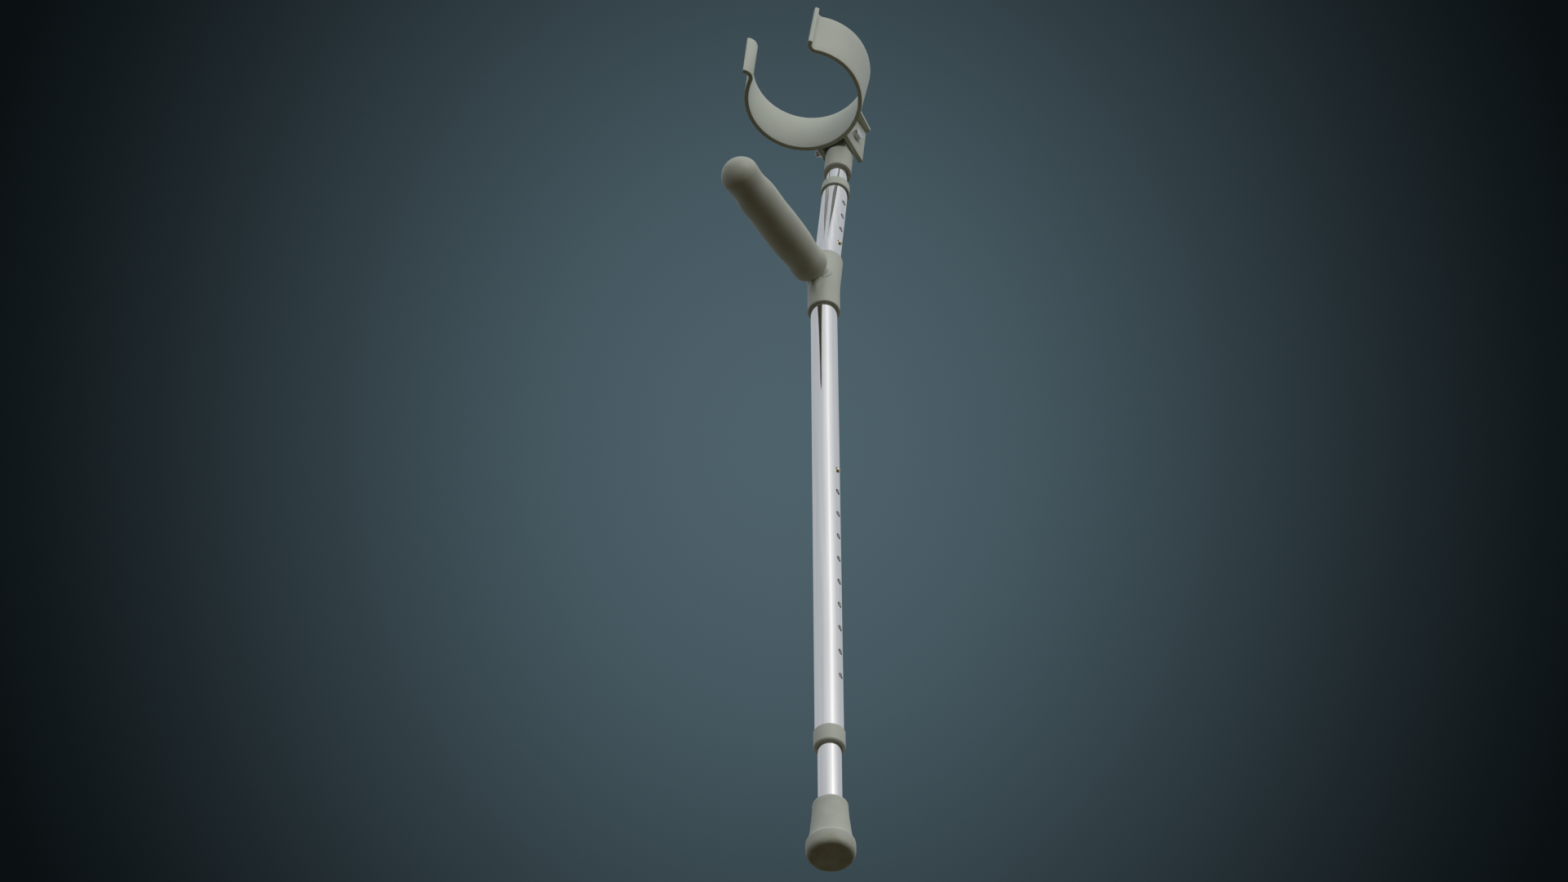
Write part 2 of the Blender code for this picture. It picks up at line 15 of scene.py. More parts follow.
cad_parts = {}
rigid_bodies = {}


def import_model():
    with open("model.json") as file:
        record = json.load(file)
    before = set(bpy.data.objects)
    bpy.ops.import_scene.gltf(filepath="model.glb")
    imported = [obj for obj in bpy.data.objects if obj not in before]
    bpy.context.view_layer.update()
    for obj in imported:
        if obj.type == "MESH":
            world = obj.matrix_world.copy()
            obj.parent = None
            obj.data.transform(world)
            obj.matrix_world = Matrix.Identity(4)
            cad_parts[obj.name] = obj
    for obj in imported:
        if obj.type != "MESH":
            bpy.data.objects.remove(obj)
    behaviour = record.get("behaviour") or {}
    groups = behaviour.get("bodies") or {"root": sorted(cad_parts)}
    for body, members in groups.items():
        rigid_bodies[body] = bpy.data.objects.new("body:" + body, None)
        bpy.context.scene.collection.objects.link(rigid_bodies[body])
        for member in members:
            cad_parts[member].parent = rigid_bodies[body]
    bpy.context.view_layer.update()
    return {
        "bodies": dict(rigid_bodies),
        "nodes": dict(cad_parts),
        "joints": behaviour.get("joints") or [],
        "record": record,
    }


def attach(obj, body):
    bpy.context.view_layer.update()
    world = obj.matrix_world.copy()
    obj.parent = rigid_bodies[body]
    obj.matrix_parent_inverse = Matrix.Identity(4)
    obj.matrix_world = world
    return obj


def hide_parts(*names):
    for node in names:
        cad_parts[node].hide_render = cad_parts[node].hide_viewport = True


MM = 0.001
GAP = 0.3
TO_X = Matrix.Rotation(math.pi / 2.0, 4, "Y")
ROUND = 112                   # sides of a tube or a turned piece
PIN_ROUND = 48                # sides of a hole, a button or a fastener
MERGE = 1e-4                  # weld distance of a turned profile, mm

# Tubes
MAIN_R = 11.0
MAIN_BORE = 9.5
INNER_R = 9.0
INNER_BORE = 7.6
TUBE_EDGE = 0.3               # broken edge at a tube's ends
MAIN_FOOT_Z = 109.5
BEND_Z = 624.0                # where the two straight axes cross
LEAN = math.radians(8.1)      # rearward lean of the upper tube
BEND_R = 120.0
BEND_TANGENT = BEND_R * math.tan(LEAN / 2.0)
BEND_STEPS = 24
MAIN_TOP_S = 158.0            # upper end, along the leaning axis

# Height settings
HOLE_R = 2.5
HOLE_CHAMFER = 0.2
LEG_TOP_HOLE_Z = 401.0
LEG_PITCH = 25.0
LEG_HOLES = 10
CUFF_LOW_HOLE_S = 65.0
CUFF_PITCH = 20.5
CUFF_HOLES = 4

# Leg, ferrule and lower collar
LEG_FOOT_Z = 9.0
LEG_TOP_Z = 428.0
FERRULE_TOP_Z = 51.5
FERRULE_SEAT_Z = LEG_FOOT_Z - 2.4     # under the washer
COLLAR_R = 12.1
COLLAR_FOOT_Z = 105.7
COLLAR_TOP_Z = 122.0
COLLAR_FILLET = 2.6

# Upper collar and cuff stem, along the leaning axis
UPPER_COLLAR_R = 12.6
UPPER_COLLAR_FOOT_S = 148.2
UPPER_COLLAR_TOP_S = 161.0
UPPER_COLLAR_FILLET = 2.7
CUFF_TUBE_FOOT_S = 38.0
SOCKET_R = 12.0
SOCKET_FOOT_S = 181.0
PIVOT_S = 232.0
SOCKET_SHOULDER = 23.5
HEAD_R = 8.3
HEAD_HALF_X = 10.9
PAD_R = 7.2
PAD_STEP = 0.4                # pads stand proud of the head's sides
NECK_HALF = 6.0
NECK_FILLET = 1.6
PIVOT_SLEEVE_R = 4.2
CUFF_TUBE_TOP = 26.0

# Handle
SLEEVE_R = 13.5
SLEEVE_BORE = 11.35
SLEEVE_FOOT_Z = 597.0
SLEEVE_TOP_S = 42.5
HANDLE_Z = 634.4
HANDLE_RISE = math.radians(4.0)
SPIGOT_R = 9.5
SPIGOT_END = 135.0
ARM_R = 10.6
GRIP_START = 15.5
GRIP_END = 145.3
RIVET_Z = 606.0
RIVET_R = 2.2

# Cuff, in its own frame: +Y rearward, +Z along the forearm
CUFF_LEAN = math.radians(11.4)
CUFF_R = 52.0
CUFF_WALL = 3.7
CUFF_H = 57.5
CUFF_FLARE = 1.045
CUFF_FRONT = 0.94             # front half is this much shallower than round
CUFF_OPEN = math.radians(40.6)
CUFF_TURN = math.radians(2.6)     # the mouth sits this far round towards +X
CUFF_EDGE = 0.7               # rounding of the band's edges
LIP_R = 6.3
LIP_TURN = math.radians(102.0)
LIP_STRAIGHT = 1.8
PIVOT_V = 61.5
PIVOT_W = 18.0
CHEEK_IN = 11.2
CHEEK_OUT = 15.3
CHEEK_TOP = 45.5
CHEEK_REAR = 77.0
CHEEK_DROP = 3.5              # lower rear corner, below the band's rim
ROOF_R = 52.2                 # front edge of the roof plate, inside the wall
ROOF_HALF_X = 22.5

# Pivot bolt
BOLT_R = 3.0
BOLT_END_X = -25.8
HEX_R = 5.0                   # corner radius of the head and the nut
HEAD_HEIGHT = 4.2
HEAD_TURN = math.radians(-6.0)
THREAD_PITCH = 1.0
THREAD_DEPTH = 0.5
WASHER_R = 6.2
WASHER_HEIGHT = 1.2
NUT_HEIGHT = 4.6

# Snap buttons
BUTTON_R = 2.2
BUTTON_OUT = 1.9
FLANGE_R = 3.3
FLANGE_LOW = 5.7              # the flange, from the tube's axis
FLANGE_HIGH = 6.2

# Camera
CAMERA_AT = (1.17210, -1.92698, -1.95041)
CAMERA_AZIMUTH = math.radians(32.16)
CAMERA_ELEVATION = math.radians(-46.68)
CAMERA_ROLL = math.radians(-0.122)
CAMERA_LENS = 93.80
SENSOR = 36.0


# ------------------------------------------------------------------ geometry
def place(location=(0.0, 0.0, 0.0), tilt=0.0, base=None):
    """Frame at a point, leaning rearward by tilt, inside another frame."""
    own = Matrix.Translation(Vector(location) * MM)
    own = own @ Matrix.Rotation(-tilt, 4, "X")
    return own if base is None else base @ own


def mesh_object(name, bm, frame=None, angle=30.0):
    """Make an object from a millimetre bmesh, with outward faces."""
    bmesh.ops.recalc_face_normals(bm, faces=bm.faces[:])
    bmesh.ops.scale(bm, vec=(MM, MM, MM), verts=bm.verts[:])
    mesh = bpy.data.meshes.new(name)
    bm.to_mesh(mesh)
    bm.free()
    mesh.shade_smooth()
    mesh.set_sharp_from_angle(angle=math.radians(angle))
    obj = bpy.data.objects.new(name, mesh)
    bpy.context.scene.collection.objects.link(obj)
    if frame is not None:
        obj.matrix_world = frame
    return obj


def turned(profile, sides=ROUND, matrix=None):
    """Spin a closed (radius, height) outline about Z."""
    bm = bmesh.new()
    verts = [bm.verts.new((r, 0.0, z)) for r, z in profile]
    edges = []
    for i, vert in enumerate(verts):
        after = verts[(i + 1) % len(verts)]
        if not (vert.co.x == 0.0 and after.co.x == 0.0):
            edges.append(bm.edges.new((vert, after)))
    bmesh.ops.spin(
        bm, geom=verts + edges, angle=math.tau, steps=sides,
        axis=(0.0, 0.0, 1.0), cent=(0.0, 0.0, 0.0), use_merge=True)
    bmesh.ops.remove_doubles(bm, verts=bm.verts[:], dist=MERGE)
    if matrix is not None:
        bmesh.ops.transform(bm, matrix=matrix, verts=bm.verts[:])
    return bm


def prism(outline, low, high, to_point, edge=0.0, segments=2):
    """Extrude a closed 2D outline, with its edges rounded by edge."""
    bm = bmesh.new()
    bottom = [bm.verts.new(to_point(a, b, low)) for a, b in outline]
    top = [bm.verts.new(to_point(a, b, high)) for a, b in outline]
    bm.faces.new(bottom)
    bm.faces.new(top)
    for i in range(len(outline)):
        j = (i + 1) % len(outline)
        bm.faces.new((bottom[i], bottom[j], top[j], top[i]))
    bmesh.ops.recalc_face_normals(bm, faces=bm.faces[:])
    if edge > 0.0:
        bmesh.ops.bevel(
            bm, geom=bm.edges[:], offset=edge, segments=segments,
            profile=0.5, affect="EDGES", clamp_overlap=True)
    return bm


def along_x(a, b, c):
    """Outline in the (y, z) plane, extruded along X."""
    return (c, a, b)


def along_y(a, b, c):
    """Outline in the (x, z) plane, extruded along Y."""
    return (a, c, b)


def along_z(a, b, c):
    """Outline in the (x, y) plane, extruded along Z."""
    return (a, b, c)


def arc(centre, radius, start, end, steps):
    """Points of an arc in a turned profile, angles in degrees."""
    points = []
    for i in range(steps + 1):
        a = math.radians(start + (end - start) * i / steps)
        points.append((
            centre[0] + radius * math.cos(a),
            centre[1] + radius * math.sin(a)))
    return points


def spline(points, steps):
    """Catmull-Rom curve through the points of an open 2D line."""
    line = [Vector(p) for p in points]
    line = [line[0] * 2.0 - line[1]] + line + [line[-1] * 2.0 - line[-2]]
    out = []
    for a, b, c, d in zip(line, line[1:], line[2:], line[3:]):
        for i in range(steps):
            t = i / steps
            p = b * 2.0 + (c - a) * t
            p += (a * 2.0 - b * 5.0 + c * 4.0 - d) * t ** 2
            p += (b * 3.0 - a - c * 3.0 + d) * t ** 3
            out.append(tuple(p / 2.0))
    out.append(tuple(line[-2]))
    return out


def along_upper(s):
    """Point on the leaning upper axis, s from the crossing of the axes."""
    return Vector((0.0, s * math.sin(LEAN), BEND_Z + s * math.cos(LEAN)))


def main_path(foot_z, top_s):
    """Stations of the bent axis: (point, lean angle)."""
    stations = [(Vector((0.0, 0.0, foot_z)), 0.0)]
    for i in range(BEND_STEPS + 1):
        a = LEAN * i / BEND_STEPS
        point = Vector((
            0.0,
            BEND_R * (1.0 - math.cos(a)),
            BEND_Z - BEND_TANGENT + BEND_R * math.sin(a)))
        stations.append((point, a))
    stations.append((along_upper(top_s), LEAN))
    return stations


def bent_tube(stations, outer, bore, edge=TUBE_EDGE):
    """Sweep an annulus along the stations, with its end edges broken."""
    bm = bmesh.new()
    first_point, first_lean = stations[0]
    last_point, last_lean = stations[-1]
    rows = [(point, lean, outer, bore) for point, lean in stations]
    up_first = Vector((0.0, math.sin(first_lean), math.cos(first_lean)))
    up_last = Vector((0.0, math.sin(last_lean), math.cos(last_lean)))
    rows[0] = (first_point, first_lean, outer - edge, bore + edge)
    rows.insert(1, (first_point + up_first * edge, first_lean, outer, bore))
    rows[-1] = (last_point - up_last * edge, last_lean, outer, bore)
    rows.append((last_point, last_lean, outer - edge, bore + edge))
    rings = []
    for point, lean, big, small in rows:
        across = Vector((1.0, 0.0, 0.0))
        behind = Vector((0.0, math.cos(lean), -math.sin(lean)))
        pair = []
        for radius in (big, small):
            ring = []
            for k in range(ROUND):
                a = math.tau * k / ROUND
                arm = across * math.cos(a) + behind * math.sin(a)
                ring.append(bm.verts.new(point + arm * radius))
            pair.append(ring)
        rings.append(pair)
    for k in range(ROUND):
        n = (k + 1) % ROUND
        for one, two in zip(rings, rings[1:]):
            for wall in (0, 1):
                bm.faces.new((
                    one[wall][k], one[wall][n], two[wall][n], two[wall][k]))
        for pair in (rings[0], rings[-1]):
            bm.faces.new((pair[0][k], pair[0][n], pair[1][n], pair[1][k]))
    return bm


def circle(radius, height, sides):
    """Points of a level circle about Z."""
    return [
        (radius * math.cos(math.tau * k / sides),
         radius * math.sin(math.tau * k / sides), height) for k in range(sides)]


def skin(rings):
    """Closed solid through rings that all have the same number of points."""
    bm = bmesh.new()
    made = [[bm.verts.new(point) for point in ring] for ring in rings]
    count = len(made[0])
    for one, two in zip(made, made[1:]):
        for k in range(count):
            n = (k + 1) % count
            bm.faces.new((one[k], one[n], two[n], two[k]))
    bm.faces.new(made[0])
    bm.faces.new(made[-1])
    return bm


def rod(start, end, radius, sides=PIN_ROUND):
    """Solid round bar between two points."""
    start = Vector(start)
    end = Vector(end)
    axis = end - start
    turn = Vector((0.0, 0.0, 1.0)).rotation_difference(axis.normalized())
    where = Matrix.Translation((start + end) / 2.0) @ turn.to_matrix().to_4x4()
    bm = bmesh.new()
    bmesh.ops.create_cone(
        bm, cap_ends=True, cap_tris=False, segments=sides,
        radius1=radius, radius2=radius, depth=axis.length, matrix=where)
    return bm


def merged(parts):
    """Put several bmeshes into one."""
    whole = bmesh.new()
    for part in parts:
        mesh = bpy.data.meshes.new("scratch")
        part.to_mesh(mesh)
        part.free()
        whole.from_mesh(mesh)
        bpy.data.meshes.remove(mesh)
    return whole


def combine(obj, cuts, angle=30.0):
    """Apply booleans [(operation, bmesh)] in the object's own frame."""
    helpers = []
    for operation, bm in cuts:
        helper = mesh_object("cutter", bm, obj.matrix_world.copy())
        helpers.append(helper)
        mod = obj.modifiers.new(operation, "BOOLEAN")
        mod.operation = operation
        mod.solver = "EXACT"
        mod.object = helper
    settle(obj, angle)
    for helper in helpers:
        mesh = helper.data
        bpy.data.objects.remove(helper)
        bpy.data.meshes.remove(mesh)
    return obj


def settle(obj, angle=30.0):
    """Apply an object's modifiers and mark its sharp edges again."""
    bpy.context.view_layer.update()
    graph = bpy.context.evaluated_depsgraph_get()
    mesh = bpy.data.meshes.new_from_object(obj.evaluated_get(graph))
    old = obj.data
    obj.modifiers.clear()
    obj.data = mesh
    bpy.data.meshes.remove(old)
    mesh.name = obj.name
    mesh.shade_smooth()
    mesh.set_sharp_from_angle(angle=math.radians(angle))


def bent_axis_radial(point):
    """Outward direction from the bent tube's axis at a point, in mm."""
    rise = point.z - (BEND_Z - BEND_TANGENT)
    lean = math.atan2(rise, BEND_R - point.y)
    lean = min(max(lean, 0.0), LEAN)
    behind = Vector((0.0, math.cos(lean), -math.sin(lean)))
    if lean >= LEAN:
        off = point - along_upper(0.0)
    elif lean > 0.0:
        off = Vector((
            point.x, point.y - BEND_R * (1.0 - math.cos(lean)),
            rise - BEND_R * math.sin(lean)))
    else:
        off = point
    return Vector((point.x, 0.0, 0.0)) + behind * off.dot(behind)


def straight_axis_radial(point):
    """Outward direction from the object's own Z axis."""
    return Vector((point.x, point.y, 0.0))


def true_normals(obj, radius, radial):
    """Give the round outer wall its exact normals, round its holes too."""
    mesh = obj.data
    normals = [Vector(n.vector) for n in mesh.corner_normals]
    for face in mesh.polygons:
        for i in face.loop_indices:
            point = mesh.vertices[mesh.loops[i].vertex_index].co / MM
            out = radial(point)
            on_wall = abs(out.length - radius) < 0.05
            if on_wall and face.normal.dot(out.normalized()) > 0.97:
                normals[i] = out.normalized()
    mesh.normals_split_custom_set(normals)


# ----------------------------------------------------------------- materials
class Finish:
    """Builder for one procedural material."""

    def __init__(self, name, roughness, metallic=0.0, specular=0.5):
        self.mat = bpy.data.materials.new(name)
        self.mat.use_nodes = True
        self.tree = self.mat.node_tree
        self.shader = self.tree.nodes["Principled BSDF"]
        self.shader.inputs["Roughness"].default_value = roughness
        self.shader.inputs["Metallic"].default_value = metallic
        self.shader.inputs["Specular IOR Level"].default_value = specular
        self.coords = self.node("ShaderNodeTexCoord").outputs["Object"]

    def node(self, kind, **settings):
        made = self.tree.nodes.new(kind)
        for key, value in settings.items():
            setattr(made, key, value)
        return made

    def link(self, source, target):
        self.tree.links.new(source, target)

    def noise(self, size, stretch=(1.0, 1.0, 1.0), detail=3.0, seed=0.0):
        """Noise with features of size mm; stretch lengthens them per axis."""
        mapping = self.node("ShaderNodeMapping")
        scale = [1.0 / (size * MM * s) for s in stretch]
        mapping.inputs["Scale"].default_value = scale
        mapping.inputs["Location"].default_value = (seed, seed * 1.7, seed * 0.6)
        self.link(self.coords, mapping.inputs["Vector"])
        made = self.node("ShaderNodeTexNoise")
        made.inputs["Scale"].default_value = 1.0
        made.inputs["Detail"].default_value = detail
        self.link(mapping.outputs["Vector"], made.inputs["Vector"])
        return made.outputs["Fac"]

    def span(self, value, low, high, out_low, out_high):
        """Map low..high to out_low..out_high, clamped and smooth."""
        made = self.node("ShaderNodeMapRange", interpolation_type="SMOOTHSTEP")
        made.inputs["From Min"].default_value = low
        made.inputs["From Max"].default_value = high
        made.inputs["To Min"].default_value = out_low
        made.inputs["To Max"].default_value = out_high
        self.link(value, made.inputs["Value"])
        return made.outputs["Result"]

    def math(self, operation, a, b):
        made = self.node("ShaderNodeMath", operation=operation)
        for socket, value in zip(made.inputs, (a, b)):
            if isinstance(value, float):
                socket.default_value = value
            else:
                self.link(value, socket)
        return made.outputs["Value"]

    def height(self, axis="Z"):
        """One object coordinate, in metres."""
        made = self.node("ShaderNodeSeparateXYZ")
        self.link(self.coords, made.inputs["Vector"])
        return made.outputs[axis]

    def mix(self, factor, a, b):
        """Colour between a and b; each is a colour or a node's output."""
        made = self.node("ShaderNodeMix", data_type="RGBA")
        self.link(factor, made.inputs["Factor"])
        colour_sockets = [s for s in made.inputs if s.type == "RGBA"]
        for socket, value in zip(colour_sockets, (a, b)):
            if isinstance(value, tuple):
                socket.default_value = (*value, 1.0)
            else:
                self.link(value, socket)
        return [s for s in made.outputs if s.type == "RGBA"][0]

    def colour(self, output):
        self.link(output, self.shader.inputs["Base Color"])
        return self

    def roughness(self, output):
        self.link(output, self.shader.inputs["Roughness"])
        return self

    def bump(self, heights, distance, strength=1.0):
        """Relief from a 0..1 height, distance in mm."""
        made = self.node("ShaderNodeBump")
        made.inputs["Distance"].default_value = distance * MM
        made.inputs["Strength"].default_value = strength
        self.link(heights, made.inputs["Height"])
        self.link(made.outputs["Normal"], self.shader.inputs["Normal"])
        return self


def anodised(name, tone, seed):
    """Drawn and anodised tube: fine lines along it, faint handling marks."""
    fin = Finish(name, 0.08, 1.0)
    lines = fin.noise(0.22, (1.0, 1.0, 260.0), 2.0, seed)
    bands = fin.noise(2.4, (1.0, 1.0, 60.0), 2.0, seed + 3.0)
    smudge = fin.noise(26.0, (1.0, 1.0, 1.6), 4.0, seed + 7.0)
    scratch = fin.noise(0.16, (1.0, 1.0, 95.0), 1.0, seed + 11.0)
    marks = fin.span(scratch, 0.70, 0.78, 0.0, 1.0)
    cloud = fin.noise(14.0, (1.0, 1.0, 2.5), 2.0, seed + 5.0)
    marks = fin.math("MULTIPLY", marks, fin.span(cloud, 0.5, 0.62, 0.0, 1.0))
    light = tuple(c * 1.04 for c in tone)
    dark = tuple(c * 0.95 for c in tone)
    base = fin.mix(fin.span(bands, 0.3, 0.7, 0.0, 1.0), dark, light)
    worn = fin.mix(marks, base, tuple(c * 0.80 for c in tone))
    fin.colour(worn)
    rough = fin.math(
        "ADD", fin.span(smudge, 0.35, 0.75, 0.055, 0.10),
        fin.span(lines, 0.3, 0.7, 0.0, 0.02))
    fin.roughness(fin.math("ADD", rough, fin.math("MULTIPLY", marks, 0.12)))
    relief = fin.math("SUBTRACT", lines, fin.math("MULTIPLY", marks, 0.6))
    fin.bump(relief, 0.002, 0.5)
    return fin.mat


def moulded(name, tone, seed, rough=(0.36, 0.47), grain=0.35, depth=0.012):
    """Moulded grey plastic: fine grain, faint flow tones, dulled patches."""
    fin = Finish(name, rough[0])
    flow = fin.noise(34.0, (1.0, 1.0, 1.8), 3.0, seed)
    grit = fin.noise(grain, (1.0, 1.0, 1.0), 2.0, seed + 2.0)
    dirt = fin.noise(5.0, (1.0, 1.0, 1.0), 4.0, seed + 6.0)
    light = tuple(c * 1.035 for c in tone)
    dark = tuple(c * 0.955 for c in tone)
    dark_patch = (tone[0] * 0.80, tone[1] * 0.78, tone[2] * 0.72)
    base = fin.mix(fin.span(flow, 0.32, 0.68, 0.0, 1.0), dark, light)
    soiled = fin.mix(fin.span(dirt, 0.60, 0.82, 0.0, 0.30), base, dark_patch)
    fin.colour(soiled)
    fin.roughness(fin.math(
        "ADD", fin.span(flow, 0.3, 0.75, *rough),
        fin.span(grit, 0.3, 0.7, -0.02, 0.03)))
    fin.bump(grit, depth, 0.6)
    return fin.mat


def vinyl(name, tone, seed):
    """Grip: slightly pebbled skin, smoother where the palm rubs."""
    fin = Finish(name, 0.45)
    pebble = fin.noise(0.8, (1.0, 1.0, 1.0), 2.0, seed)
    tint = fin.noise(22.0, (1.0, 1.0, 1.3), 3.0, seed + 4.0)
    palm = fin.noise(16.0, (1.0, 1.0, 2.2), 2.0, seed + 8.0)
    base = fin.mix(
        fin.span(tint, 0.3, 0.7, 0.0, 1.0),
        tuple(c * 0.95 for c in tone), tuple(c * 1.03 for c in tone))
    rub = fin.span(palm, 0.46, 0.66, 0.0, 1.0)
    fin.colour(fin.mix(
        fin.math("MULTIPLY", rub, 0.25), base,
        (tone[0] * 0.86, tone[1] * 0.85, tone[2] * 0.80)))
    fin.roughness(fin.math("SUBTRACT", 0.52, fin.math("MULTIPLY", rub, 0.12)))
    fin.bump(pebble, 0.03, 0.45)
    return fin.mat


def foot_rubber(name, tone, seed):
    """Ferrule: matt rubber, darker and browner in cloudy patches towards the sole.
    """
    fin = Finish(name, 0.58, specular=0.4)
    grit = fin.noise(0.5, (1.0, 1.0, 1.0), 3.0, seed)
    cloud = fin.noise(9.0, (1.0, 1.0, 1.0), 4.0, seed + 3.0)
    z = fin.height("Z")
    # Darker, browner tone in cloudy patches over the lowest 16 mm, towards the
    # sole
    low = fin.span(z, 0.001, 0.016, 1.0, 0.0)
    dark_patch = fin.math("MULTIPLY", low, fin.span(cloud, 0.35, 0.7, 0.15, 0.75))
    base = fin.mix(
        fin.span(cloud, 0.3, 0.7, 0.0, 1.0),
        tuple(c * 0.95 for c in tone), tuple(c * 1.04 for c in tone))
    fin.colour(fin.mix(dark_patch, base, (0.46, 0.43, 0.33)))
    fin.roughness(fin.span(cloud, 0.3, 0.7, 0.50, 0.66))
    fin.bump(grit, 0.04, 0.4)
    return fin.mat


def bright_metal(name, tone, seed, rough=(0.18, 0.36), turning=False):
    """Small turned or plated metal part with worn plating."""
    fin = Finish(name, rough[0], 1.0)
    stretch = (1.0, 1.0, 8.0) if turning else (1.0, 1.0, 1.0)
    grain = fin.noise(0.12, stretch, 2.0, seed)
    tarnish = fin.noise(1.8, (1.0, 1.0, 1.0), 4.0, seed + 5.0)
    fin.colour(fin.mix(
        fin.span(tarnish, 0.42, 0.72, 0.0, 0.7), tone,
        tuple(c * 0.62 for c in tone)))
    fin.roughness(fin.span(tarnish, 0.35, 0.7, *rough))
    fin.bump(grain, 0.006, 0.5)
    return fin.mat


# ---------------------------------------------------------------- load frame
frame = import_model()
nodes = frame["nodes"]

TUBE = (0.90, 0.88, 0.875)
GREY = (0.665, 0.695, 0.61)
tube_finish = anodised("anodised_tube", TUBE, 1.0)
leg_finish = anodised("anodised_leg", TUBE, 21.0)
plastic = moulded("grey_plastic", GREY, 4.0)
bracket_plastic = moulded("bracket_plastic", GREY, 14.0, (0.38, 0.50))
grip_skin = vinyl("grip_vinyl", (0.635, 0.655, 0.57), 6.0)
rubber = foot_rubber("ferrule_rubber", (0.66, 0.695, 0.62), 9.0)
brass = bright_metal(
    "button_brass", (0.78, 0.72, 0.56), 2.0, (0.12, 0.28), turning=True)
zinc = bright_metal("zinc_plate", (0.66, 0.67, 0.69), 5.0)
spring_steel = bright_metal(
    "spring_steel", (0.52, 0.52, 0.54), 8.0, (0.24, 0.4))
nylon = moulded("white_nylon", (0.74, 0.74, 0.71), 12.0, (0.44, 0.56), 0.5)

upper = place((0.0, 0.0, BEND_Z), LEAN)
pivot = place((0.0, 0.0, PIVOT_S), CUFF_LEAN - LEAN, upper)
cuff_frame = place((0.0, -PIVOT_V, -PIVOT_W), 0.0, pivot)
HANDLE_TURN = Matrix.Rotation(math.pi / 2.0 - HANDLE_RISE, 4, "X")
handle = Matrix.Translation((0.0, 0.0, HANDLE_Z * MM)) @ HANDLE_TURN


def to_row(obj):
    """Move a leaning piece's mesh into the row frame."""
    obj.data.transform(obj.matrix_world)
    obj.matrix_world = Matrix.Identity(4)


def dress(obj, finish, body, slot, *replaced):
    """Finish a piece: material, body and the CAD nodes it stands for; the slot
    argument is not used.
    """
    if not obj.data.has_custom_normals:
        to_row(obj)
    obj.data.materials.clear()
    obj.data.materials.append(finish)
    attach(obj, body)
    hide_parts(*replaced)
    return obj


# --------------------------------------------------------------------- tubes
def hole_tool(centre, wall_r):
    """Drill with a small countersink at the wall's outer radius."""
    mouth = HOLE_R + HOLE_CHAMFER
    start = 5.0
    end = wall_r + 3.0
    profile = [
        (0.0, start), (HOLE_R, start), (HOLE_R, wall_r - 0.5),
        (mouth, wall_r + 0.1), (mouth, end), (0.0, end)]
    return turned(profile, PIN_ROUND, Matrix.Translation(centre) @ TO_X)


main_holes = []
for i in range(LEG_HOLES):
    main_holes.append(hole_tool(
        Vector((0.0, 0.0, LEG_TOP_HOLE_Z - LEG_PITCH * i)), MAIN_R))
for i in range(CUFF_HOLES):
    main_holes.append(hole_tool(
        along_upper(CUFF_LOW_HOLE_S + CUFF_PITCH * i), MAIN_R))
main_holes.append(rod((0.0, 5.0, RIVET_Z), (0.0, 20.0, RIVET_Z), RIVET_R + GAP))
main = mesh_object("tube_main", bent_tube(
    main_path(MAIN_FOOT_Z, MAIN_TOP_S), MAIN_R, MAIN_BORE))
combine(main, [("DIFFERENCE", merged(main_holes))])
true_normals(main, MAIN_R, bent_axis_radial)
dress(main, tube_finish, "frame", "aluminium", "main_tube")


def inner_tube(name, foot, top, hole_at, frame_at, body, node):
    """One of the 18 mm tubes, with its single button hole."""
    edge = TUBE_EDGE
    profile = [
        (INNER_BORE + edge, foot), (INNER_R - edge, foot),
        (INNER_R, foot + edge), (INNER_R, top - edge),
        (INNER_R - edge, top), (INNER_BORE + edge, top),
        (INNER_BORE, top - edge), (INNER_BORE, foot + edge)]
    tube = mesh_object(name, turned(profile), frame_at)
    hole = hole_tool(Vector((0.0, 0.0, hole_at)), INNER_R)
    combine(tube, [("DIFFERENCE", hole)])
    true_normals(tube, INNER_R, straight_axis_radial)
    return dress(tube, leg_finish, body, "aluminium", node)


inner_tube(
    "tube_leg", LEG_FOOT_Z, LEG_TOP_Z, LEG_TOP_HOLE_Z, Matrix.Identity(4),
    "leg", "leg_tube")
inner_tube(
    "tube_cuff", CUFF_TUBE_FOOT_S, PIVOT_S - CUFF_TUBE_TOP, CUFF_LOW_HOLE_S,
    upper, "cuff_stem", "cuff_tube")

# ------------------------------------------------------------------- collars
low_profile = [(INNER_R + GAP + 0.3, COLLAR_FOOT_Z)]
low_profile += arc(
    (COLLAR_R - COLLAR_FILLET, COLLAR_FOOT_Z + COLLAR_FILLET), COLLAR_FILLET,
    -90.0, 0.0, 14)
low_profile += arc((COLLAR_R - 0.5, COLLAR_TOP_Z - 0.5), 0.5, 0.0, 90.0, 6)
low_profile += [
    (MAIN_R + GAP, COLLAR_TOP_Z), (MAIN_R + GAP, MAIN_FOOT_Z - GAP),
    (INNER_R + GAP, MAIN_FOOT_Z - GAP), (INNER_R + GAP, COLLAR_FOOT_Z + 0.3)]
collar_low = mesh_object("collar_low", turned(low_profile))
dress(collar_low, plastic, "frame", "plastic", "lower_collar")

